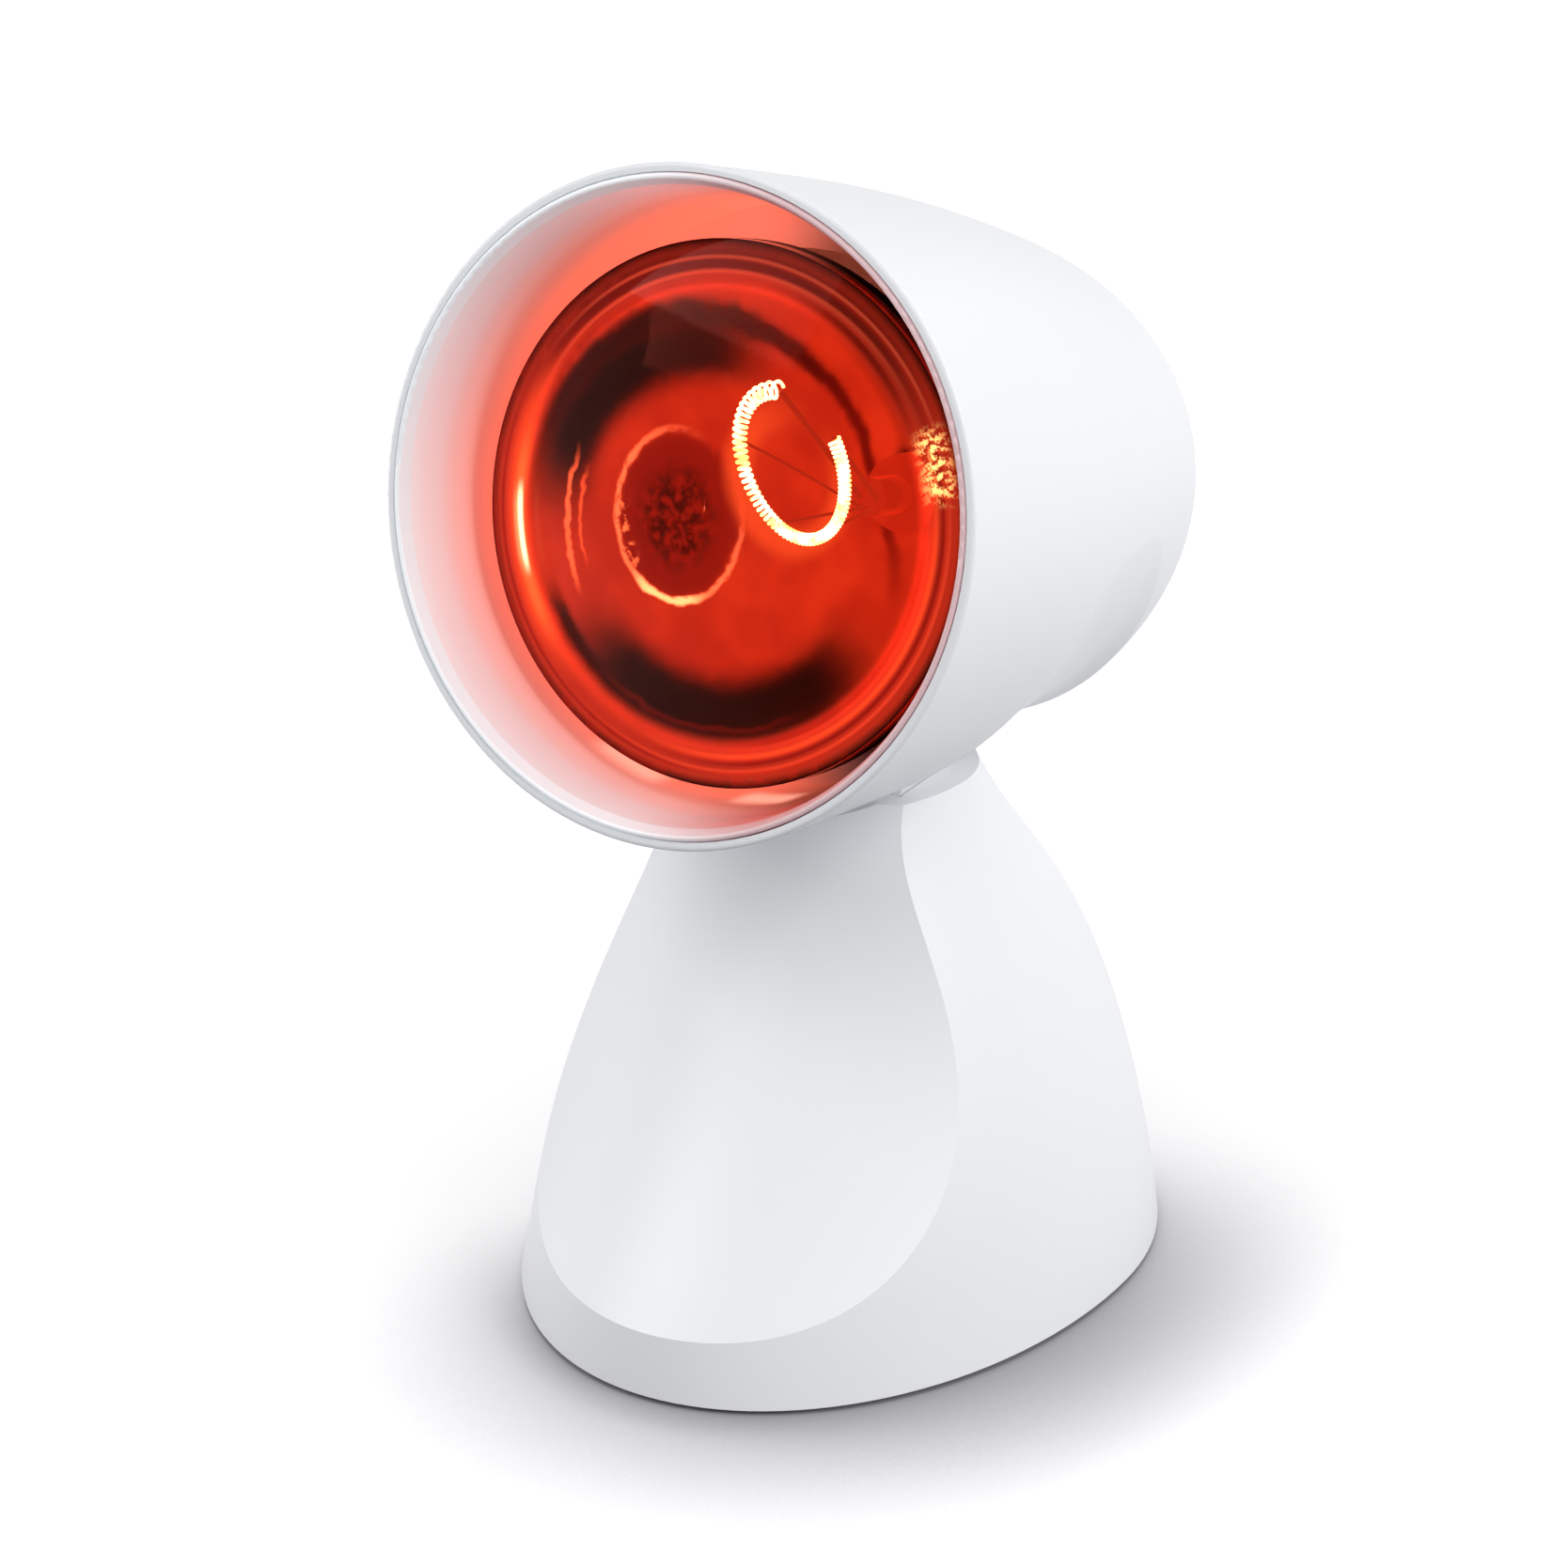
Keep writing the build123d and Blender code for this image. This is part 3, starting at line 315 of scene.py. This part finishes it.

# %% [markdown]
# ### The enamel's painted glow
# Part of the glow is painted as light of the enamel's own, though the enamel is no lamp,
# which lets a ramp set it from the lip to the bulb. On the far side it is all but dark, a
# painted shade. Two soft painted highlights low in the ring stand for the bulb's light in
# the polish.

# %% Painted glow of the enamel
GLEAM_WIDTH, GLEAM_SHARE = 9.0, 0.75
glow = ramp(tree, depth, 0, LINER_DEPTH, [
    (0.0, "#6A7476"), (0.3, "#796C6C"), (0.6, "#9F6359"), (1.0, "#D76B54")])
painted_glow_dimmed = put(tree, "ShaderNodeMix", {0: lit, 6: hex_linear("#270000"), 7: glow}, data_type="RGBA")
painted_glow_with_gleams = painted_glow_dimmed.outputs[2]
# Two painted highlights low in the ring.
for middle, turn, span in ((34.0, 251, 10), (37.0, 280, 8)):
    painted_gleam = arc(tree, depth, angle, middle, GLEAM_WIDTH, turn, span)
    faint = put(tree, "ShaderNodeMath", {0: painted_gleam, 1: GLEAM_SHARE}, operation="MULTIPLY")
    painted_glow_with_gleams = coats(tree, painted_glow_with_gleams, (faint, "#FFB49C", 1.0))
link(tree, painted_glow_with_gleams, shader.inputs["Emission Color"])
shader.inputs["Emission Strength"].default_value = 1.0
shader.inputs["Roughness"].default_value = 0.3
dress(liner_paint, "shade_liner")
print("enamel on the liner")

# %% [markdown]
# ## Ruby glass
# The bulb's front is pressed glass stained red right through, a ruby glass that lets the
# heat and the deep red light pass. It is clear and very smooth, with the usual 1.5 for
# glass. The light that the thick rim pipes round the edge is painted on as the glass's own
# orange-red glow outside the clear middle, with painted reflections in arcs, one long painted
# white highlight on the left and painted sparks on the right. Its reflections are tinted
# dark, because a white studio would lay a milky haze over it. Each row below is one arc:
# radius, half width, middle angle, half span, colour, strength.

# %% Ruby glass
STAIN = (50.0, 55.0)
RIM = (48.5, 52.0)
ruby, tree, shader = new_material("ruby_pressed_glass")
shader.inputs["Transmission Weight"].default_value = 1.0
shader.inputs["Roughness"].default_value = 0.02
shader.inputs["IOR"].default_value = 1.5
shader.inputs["Specular Tint"].default_value = hex_linear("#5A1A12")
across, upward = slanted(tree)
radius, angle = polar(tree, across, upward)
stain = coats(tree, hex_linear("#F4896C"), (mask(tree, (radius, *STAIN)), "#5A0A06", 1.0))
link(tree, stain, shader.inputs["Base Color"])
painted_shine = coats(tree, hex_linear("#000000"), (mask(tree, (radius, *RIM)), "#A42816", 1.0))
# Painted reflections and a painted highlight, as arcs of light in the rim.
for middle, width, turn, span, colour, strength in (
        (55.0, 8.0, 92, 85, "#54120A", 1.0),
        (53.6, 0.9, -40, 75, "#D8401E", 1.0),
        (55.2, 0.8, -35, 80, "#7A160C", 1.0),
        (56.8, 0.7, -50, 80, "#CC3A20", 1.0),
        (51.3, 1.3, 95, 85, "#3A0603", 1.0),
        (53.4, 0.8, 100, 80, "#A03420", 1.0),
        (56.6, 0.7, 80, 80, "#A83A24", 1.0),
        (50.8, 1.2, -35, 60, "#7A120A", 1.0),
        (57.6, 0.7, 215, 70, "#7A160C", 1.0),
        (54.0, 3.6, 190, 46, "#D8401E", 1.0),
        (52.9, 2.4, 194, 30, "#F0602A", 1.0),
        (52.8, 1.1, 192, 13, "#FFF0B8", 1.8)):
    painted_shine = coats(tree, painted_shine, (arc(tree, radius, angle, middle, width, turn, span), colour, strength))
print("arcs of light drawn in the rim")

# %% [markdown]
# ### The edge and the sparks
# At the very edge the painted glow turns dark, a painted shade. On the right the rim throws
# back small sparks, painted as specks of noise about 1.6 mm across inside one arc.

# %% Edge and sparks of the glass
EDGE = (58.6, 60.4)
SPARK = 1.6
painted_dark_edge = put(tree, "ShaderNodeMapRange", {"Value": radius, "From Min": EDGE[0], "From Max": EDGE[1]})
painted_shine = coats(tree, painted_shine, (painted_dark_edge, "#2A0502", 1.0))
painted_sparks = mottle(tree, across, upward, SPARK, 4.0)
patch = arc(tree, radius, angle, 55.0, 5.0, 20, 10, (painted_sparks, 0.47, 0.58))
painted_shine = coats(tree, painted_shine, (patch, "#FFC070", 2.0))
link(tree, painted_shine, shader.inputs["Emission Color"])
shader.inputs["Emission Strength"].default_value = 1.0
dress(ruby, "bulb_lens")
print("ruby glass on the lens")

# %% [markdown]
# ## The silvered bowl
# Behind the lens the glass is silvered on the inside with a film of aluminium. It shows
# the lit filament again and again. A true mirror would be noisy here and would show the
# studio instead, so the reflections are drawn as light of their own, on the slant given
# above, and the film under them stays dark. Clouds some 22 mm across vary its red, and
# ripples of 6 mm roughen the arcs. The rows are arcs as in the glass.

# %% Silvered bowl with its reflections
CLOUD, RIPPLE = 22.0, 6.0
RIPPLE_HEIGHT = 3.0
FILM_GLOW = 0.95
bowl_film, tree, shader = new_material("aluminium_film_reflections")
shader.inputs["Base Color"].default_value = hex_linear("#060101")
shader.inputs["Roughness"].default_value = 0.45
shader.inputs["Specular IOR Level"].default_value = 0.1
across, upward = slanted(tree)
cloud = mottle(tree, across, upward, CLOUD, 2.0)
grain = mottle(tree, across, upward, RIPPLE, 3.0)
radius, angle = polar(tree, across, upward)
wavy = uneven(tree, radius, grain, RIPPLE_HEIGHT)
glow = coats(tree, hex_linear("#D0482C"), (mask(tree, (cloud, 0.35, 0.7)), "#EC5C36", 1.0))
for middle, width, turn, span, colour, strength in (
        (50.0, 2.6, 60, 80, "#7A1A10", 1.0),
        (50.0, 3.6, 118, 75, "#3A0A06", 1.0),
        (43.5, 10.0, 132, 62, "#2A0504", 1.0),
        (44.5, 7.6, 134, 58, "#020000", 1.0),
        (44.0, 13.0, 278, 70, "#2A0504", 1.0),
        (44.4, 10.5, 276, 66, "#020000", 1.0),
        (48.0, 2.6, 228, 26, "#2A0504", 1.0),
        (47.6, 1.0, 270, 40, "#5A140C", 1.0),
        (42.4, 0.9, 188, 27, "#FFA078", 1.8),
        (39.2, 0.7, 186, 20, "#FF8A60", 1.4)):
    glow = coats(tree, glow, (arc(tree, wavy, angle, middle, width, turn, span), colour, strength))
print("crescents and streaks drawn in the bowl")

# %% [markdown]
# ### The throat
# The neck of the bowl is painted as a dark mottled oval with a ragged bright edge, a painted
# reflection that is brightest at the bottom. The oval is a circle after its two directions
# are divided by its sizes.


# %% Throat
THROAT_MIDDLE = (-12.6, 2.2)
THROAT_SIZE = (16.6, 20.6)
THROAT_RAGGED = 0.16
SPECKLE = 3.0


def oval(tree, across, upward, middle, size):
    scaled = []
    for value, centre, half in zip((across, upward), middle, size):
        moved = put(tree, "ShaderNodeMath", {0: value, 1: centre}, operation="SUBTRACT")
        scaled.append(put(tree, "ShaderNodeMath", {0: moved, 1: half}, operation="DIVIDE"))
    return polar(tree, *scaled)


throat, turn_about = oval(tree, across, upward, THROAT_MIDDLE, THROAT_SIZE)
ragged = uneven(tree, throat, grain, THROAT_RAGGED)
speckle = mottle(tree, across, upward, SPECKLE, 4.0)
glow = coats(
    tree, glow,
    (mask(tree, (ragged, 1.04, 0.85)), "#A02818", 1.0),
    (mask(tree, (ragged, 0.8, 0.3), (speckle, 0.62, 0.4)), "#4A0C06", 1.0),
    (arc(tree, ragged, turn_about, 1.0, 0.07, 235, 170, (speckle, 0.3, 0.5)), "#FFB088", 2.0),
    (arc(tree, ragged, turn_about, 1.0, 0.07, 268, 40), "#FFE0B0", 4.5),
    (arc(tree, ragged, turn_about, 0.9, 0.16, 205, 40, (speckle, 0.52, 0.64)), "#FFB080", 2.0))
print("throat drawn at", THROAT_MIDDLE)

# %% [markdown]
# ### The coil's image and the seam
# Beside the throat the film gets a painted reflection of the coil, a broad faint ring.
# Towards the seam with the lens the painted light of the bowl dies away to black.

# %% Image of the coil, and the seam
COIL_IMAGE = (17.2, 17.6)
COIL_IMAGE_RADIUS, COIL_IMAGE_WIDTH, COIL_IMAGE_SHARE = 15.5, 6.0, 0.8
SEAM = (56.0, 60.0)
halo, turn_about = oval(tree, across, upward, COIL_IMAGE, (1.0, 1.0))
painted_coil_image = arc(tree, halo, turn_about, COIL_IMAGE_RADIUS, COIL_IMAGE_WIDTH, 250, 190)
faint = put(tree, "ShaderNodeMath", {0: painted_coil_image, 1: COIL_IMAGE_SHARE}, operation="MULTIPLY")
glow = coats(tree, glow, (faint, "#FF8A50", 1.2), (mask(tree, (radius, *SEAM)), "#000000", 1.0))
link(tree, glow, shader.inputs["Emission Color"])
shader.inputs["Emission Strength"].default_value = FILM_GLOW
dress(bowl_film, "bulb_bowl")
print("silvering on the bowl")

# %% [markdown]
# ## Plain finishes of the fixings
# Zinc-plated steel, brass contacts, glazed porcelain, rubber, painted iron and sheathed
# leads each have a colour and a gloss of their own. One grain breaks up the colour, the
# gloss and the relief of them all, because these pieces are small and mostly hidden. It is
# a little over a millimetre across, coarser than plating or glaze, so that it shows. The
# posts and the stem stand inside the lit bulb, and they get a painted red glow like the
# painted light round them, though they are no lamp.


# %% Plain finishes
GRAIN = 1.4


def plain(name, colour, roughness, metallic=0.0, **more):
    material, tree, shader = new_material(name)
    place = put(tree, "ShaderNodeTexCoord").outputs["Object"]
    grain = put(tree, "ShaderNodeTexNoise", {"Vector": place, "Scale": 1 / (GRAIN * MM), "Detail": 3.0})
    patch = put(tree, "ShaderNodeMapRange", {"Value": grain, "From Min": 0.35, "From Max": 0.65})
    clean = hex_linear(colour)
    worn = (*[0.84 * channel for channel in clean[:3]], 1.0)
    tone = put(tree, "ShaderNodeMix", {0: patch, 6: clean, 7: worn}, data_type="RGBA")
    link(tree, tone.outputs[2], shader.inputs["Base Color"])
    gloss = put(tree, "ShaderNodeMapRange", {
        "Value": grain, "To Min": 0.8 * roughness, "To Max": min(1.0, 1.2 * roughness)})
    link(tree, gloss.outputs[0], shader.inputs["Roughness"])
    relief = put(tree, "ShaderNodeBump", {"Height": grain, "Strength": 0.12, "Distance": 0.05 * MM})
    link(tree, relief.outputs[0], shader.inputs["Normal"])
    shader.inputs["Metallic"].default_value = metallic
    for socket, value in more.items():
        shader.inputs[socket.replace("_", " ")].default_value = value
    return material


dress(plain("zinc_plated_steel", "#C4C6C9", 0.34, 1.0), "seat_screws", "holder_bridge", "bridge_screws",
      "holder_screws", "case_screws", "ballast_screws", "yoke", "yoke_screws", "axle", "axle_nut",
      "detent_ball", "detent_spring")
dress(plain("pressed_brass", "#C9A35A", 0.32, 1.0), "holder_sleeve", "holder_contact", "holder_terminals",
      "switch_blades", "block_screws", "detent_barrel")
dress(plain("drawn_aluminium_cap", "#C8C9CB", 0.3, 1.0), "bulb_cap")
dress(plain("tin_solder", "#B9BABB", 0.35, 1.0), "bulb_tip")
dress(plain("black_vitrite", "#141416", 0.15), "bulb_tip_ring")
# The posts and the stem carry a painted red glow.
dress(plain("molybdenum_wire_painted_glow", "#3A2420", 0.4, 1.0, Emission_Color=hex_linear("#B84A30"),
            Emission_Strength=1.0), "bulb_posts")
dress(plain("stem_glass_painted_glow", "#3A2420", 0.1, Emission_Color=hex_linear("#D0482C"),
            Emission_Strength=0.9), "bulb_stem")
dress(plain("glazed_porcelain", "#EFEDE6", 0.2), "holder_body")
dress(plain("black_rubber", "#2B2B2D", 0.7), "feet", "cable_inlet", "cable_sleeve")
dress(plain("grey_abs_textured", "#7C7F84", 0.55), "base_plate")
dress(plain("painted_cast_iron", "#3B3C3E", 0.6), "ballast")
dress(plain("red_fibre", "#7A3A28", 0.7), "tilt_washers")
dress(plain("black_nylon", "#1C1C1E", 0.45), "switch_case", "switch_rocker")
dress(plain("white_polyamide", "#E6E5E0", 0.5), "terminal_block")
dress(plain("brown_silicone_lead", "#5C2E18", 0.5), "lamp_live", "supply_live", "switched_live",
      "riser_live")
dress(plain("blue_silicone_lead", "#1F4EA8", 0.5), "lamp_neutral", "supply_neutral", "riser_neutral")
print("plain finishes on")

# %% [markdown]
# ## The glowing filament
# The solid filament is a plain ring of wire. The real one is a fine tungsten wire wound
# into a long coil, and the coil runs round the bulb in an open leaning oval. One loop walks
# round that oval while it winds about it, and the winding opens out towards the upper end.
# A spin makes every turn alike, and this winding changes its step, so the wire is a curve
# with a round bevel.

# %% Filament winding
OVAL_MIDDLE = Vector((0.0, 54.5, 7.5))
OVAL_LONG, OVAL_WIDE = 18.2, 13.0
OVAL_LEAN = math.radians(35)
OVAL_START, OVAL_SWEEP = math.radians(90), math.radians(294)
WINDINGS = 84
STEPS_PER_WINDING = 14
WIRE = 0.42


def on_oval(share):
    turn = OVAL_START + OVAL_SWEEP * share
    along, across = OVAL_LONG * math.cos(turn), OVAL_WIDE * math.sin(turn)
    side = across * math.cos(OVAL_LEAN) - along * math.sin(OVAL_LEAN)
    height = along * math.cos(OVAL_LEAN) + across * math.sin(OVAL_LEAN)
    return OVAL_MIDDLE + Vector((side, 0.0, height))


def wound(share):
    middle = on_oval(share)
    ahead = (on_oval(share + 0.001) - middle).normalized()
    back = Vector((0.0, 1.0, 0.0))
    outward = ahead.cross(back)
    swing = 2 * math.pi * WINDINGS * (share - 0.2 * share ** 3)
    reach = 1.4 - share + 1.7 * share ** 3
    return middle + (outward * math.cos(swing) + back * math.sin(swing)) * reach


winding = bpy.data.curves.new("filament_winding", "CURVE")
winding.dimensions = "3D"
winding.bevel_depth = WIRE * MM
winding.bevel_resolution = 1
winding.use_fill_caps = True
count = WINDINGS * STEPS_PER_WINDING
line = winding.splines.new("POLY")
line.points.add(count)
for step in range(count + 1):
    line.points[step].co = (*in_head(*wound(step / count)), 1.0)
filament = bpy.data.objects.new("filament_winding", winding)
bpy.context.scene.collection.objects.link(filament)
print("filament wound", WINDINGS, "times")

# %% [markdown]
# ### White-hot tungsten
# At working heat the wire is far brighter than anything round it. It isn't all equally
# hot, so a pattern of about 4 mm turns it from yellow to almost white along its length.

# %% White-hot tungsten
HEAT_PATCH = 3.846
HEAT = 12.0
hot, tree, shader = new_material("white_hot_tungsten")
shader.inputs["Base Color"].default_value = hex_linear("#5A4030")
place = put(tree, "ShaderNodeTexCoord").outputs["Object"]
heat = put(tree, "ShaderNodeTexNoise", {"Vector": place, "Scale": 1 / (HEAT_PATCH * MM)})
warm = put(tree, "ShaderNodeValToRGB", {"Fac": heat})
for element, share, colour in zip(warm.color_ramp.elements, (0.35, 0.6), ("#FFC070", "#FFF6DC")):
    element.position = share
    element.color = hex_linear(colour)
link(tree, warm.outputs[0], shader.inputs["Emission Color"])
shader.inputs["Emission Strength"].default_value = HEAT
winding.materials.append(hot)
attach(filament, "head")
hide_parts("bulb_coil")
print("filament hot, riding on the head")

# %% [markdown]
# ## Floor
# A plain pale floor that keeps the lamp's soft shadow. It is lifted to white only for rays
# from the camera or through gloss and glass, so no light is added to the lamp. The lift is
# held back where the base hides the floor from the sky, and more so at the front right, so
# the shadow there is drawn deeper than the lamps alone would cast it. Far off the lift is
# full, which keeps the floor as white as the backdrop.


# %% Floor
FLOOR_REACH = 6.0
SHADOW_REACH = 60
FRONT_RIGHT = (0.7, -0.72)
DEEPER_FROM, DEEPER_TO = -30, 120
FAINT_SHADOW, DEEP_SHADOW = 0.4, 5.5
NEAR, FAR = 0.5, 2.0
NEAR_LIFT, FULL_LIFT = 0.82, 1.0


def seen_rays(tree):
    rays = put(tree, "ShaderNodeLightPath").outputs
    bounced = put(tree, "ShaderNodeMath", {0: rays["Is Glossy Ray"], 1: rays["Is Transmission Ray"]},
                  operation="MAXIMUM")
    return put(tree, "ShaderNodeMath", {0: rays["Is Camera Ray"], 1: bounced}, operation="MAXIMUM")


floor_mesh = bpy.data.meshes.new("floor")
build = bmesh.new()
bmesh.ops.create_grid(build, x_segments=1, y_segments=1, size=FLOOR_REACH)
build.to_mesh(floor_mesh)
build.free()
floor = bpy.data.objects.new("floor", floor_mesh)
bpy.context.scene.collection.objects.link(floor)
print("floor laid,", 2 * FLOOR_REACH, "m wide")

# %% [markdown]
# ### White paper with a soft shadow
# Ambient occlusion finds where the base hides the sky, and a power of it sets how dark
# that gets. Going towards the front right the power rises, which deepens the shadow there.

# %% Paper of the floor
paper, tree, shader = new_material("white_paper_floor")
shader.inputs["Base Color"].default_value = hex_linear("#88888C")
shader.inputs["Roughness"].default_value = 0.9
contact = put(tree, "ShaderNodeAmbientOcclusion", {"Distance": SHADOW_REACH * MM}, samples=16).outputs["AO"]
place = put(tree, "ShaderNodeTexCoord").outputs["Object"]
spot = put(tree, "ShaderNodeSeparateXYZ", {"Vector": place}).outputs
rightward = put(tree, "ShaderNodeMath", {0: spot[0], 1: FRONT_RIGHT[0]}, operation="MULTIPLY")
away = put(tree, "ShaderNodeMath", {0: spot[1], 1: FRONT_RIGHT[1], 2: rightward}, operation="MULTIPLY_ADD")
power = put(tree, "ShaderNodeMapRange", {
    "Value": away, "From Min": DEEPER_FROM * MM, "From Max": DEEPER_TO * MM,
    "To Min": FAINT_SHADOW, "To Max": DEEP_SHADOW}, interpolation_type="SMOOTHSTEP")
open_sky = put(tree, "ShaderNodeMath", {0: contact, 1: power}, operation="POWER")
reach = [put(tree, "ShaderNodeMath", {0: spot[axis]}, operation="ABSOLUTE") for axis in (0, 1)]
far_off = put(tree, "ShaderNodeMath", {0: reach[0], 1: reach[1]}, operation="ADD")
level = put(tree, "ShaderNodeMapRange", {
    "Value": far_off, "From Min": NEAR, "From Max": FAR, "To Min": NEAR_LIFT, "To Max": FULL_LIFT})
shown = put(tree, "ShaderNodeMath", {0: seen_rays(tree), 1: level}, operation="MULTIPLY")
strength = put(tree, "ShaderNodeMath", {0: shown, 1: open_sky}, operation="MULTIPLY")
lift = put(tree, "ShaderNodeEmission", {"Color": hex_linear("#FFFFFF"), "Strength": strength})
both = put(tree, "ShaderNodeAddShader", {0: shader, 1: lift})
link(tree, both.outputs[0], tree.nodes["Material Output"].inputs["Surface"])
floor.data.materials.append(paper)
print("paper on the floor")

# %% [markdown]
# ## World
# The white room round the lamp. It gives light at a fifth of full strength and is shown at
# full strength, so the background is white without flooding the white plastic.

# %% World
LIGHT_GIVEN, LIGHT_SHOWN = 0.2, 1.0
world = bpy.data.worlds.new("studio")
bpy.context.scene.world = world
world.use_nodes = True
tree = world.node_tree
backdrop = tree.nodes["Background"]
shown = put(tree, "ShaderNodeMath", {0: seen_rays(tree), 1: LIGHT_SHOWN - LIGHT_GIVEN, 2: LIGHT_GIVEN},
            operation="MULTIPLY_ADD")
link(tree, shown.outputs[0], backdrop.inputs["Strength"])
backdrop.inputs["Color"].default_value = hex_linear("#FFFFFF")
print("world gives", LIGHT_GIVEN, "and shows", LIGHT_SHOWN)

# %% [markdown]
# ## Soft lights
# Five soft boxes stand round the lamp, as in a small studio. The two strongest are
# high, on the right and at the front left, which leaves the underside of the shade and the
# upright band at the foot of the stand a little greyer than the rest, with no paint.


# %% Lights
def softbox(name, place, aim, width, height, power):
    lamp = bpy.data.lights.new(name, "AREA")
    lamp.shape = "RECTANGLE"
    lamp.size, lamp.size_y = width, height
    lamp.energy = power
    holder = bpy.data.objects.new(name, lamp)
    bpy.context.scene.collection.objects.link(holder)
    holder.location = place
    holder.rotation_euler = (Vector(aim) - Vector(place)).to_track_quat("-Z", "Y").to_euler()


MIDDLE = (0.0, 0.0, 0.14)
softbox("right_box", (1.45, -0.1, 1.0), MIDDLE, 1.0, 1.2, 20.5)
softbox("left_front_box", (-0.9, -1.2, 1.3), MIDDLE, 1.0, 1.0, 14.4)
softbox("front_low_box", (-0.1, -1.5, 0.45), (0.0, 0.0, 0.1), 1.2, 0.6, 1.4)
softbox("left_box", (-1.6, -0.2, 0.6), MIDDLE, 1.0, 1.0, 6.0)
softbox("back_box", (0.6, 1.3, 1.2), MIDDLE, 1.0, 1.0, 5.0)
print("lights set")

# %% [markdown]
# ## Camera
# An 85 mm portrait lens from the front right, a little above the lamp. Both points are in
# millimetres.

# %% Camera
camera_data = bpy.data.cameras.new("camera")
camera_data.lens = 85.0
camera_data.sensor_width = 36.0
camera = bpy.data.objects.new("camera", camera_data)
bpy.context.scene.collection.objects.link(camera)
camera.location = Vector((406.4, -731.9, 458.0)) * MM
aim = Vector((-0.13, -39.9, 130.5)) * MM
camera.rotation_euler = (aim - camera.location).to_track_quat("-Z", "Y").to_euler()
bpy.context.scene.camera = camera
print("camera", round((camera.location - aim).length, 3), "m from its aim")

# %% [markdown]
# ## Finish
# The colours are shown through the Standard view transform.

# %% Finish
bpy.context.scene.view_settings.view_transform = "Standard"
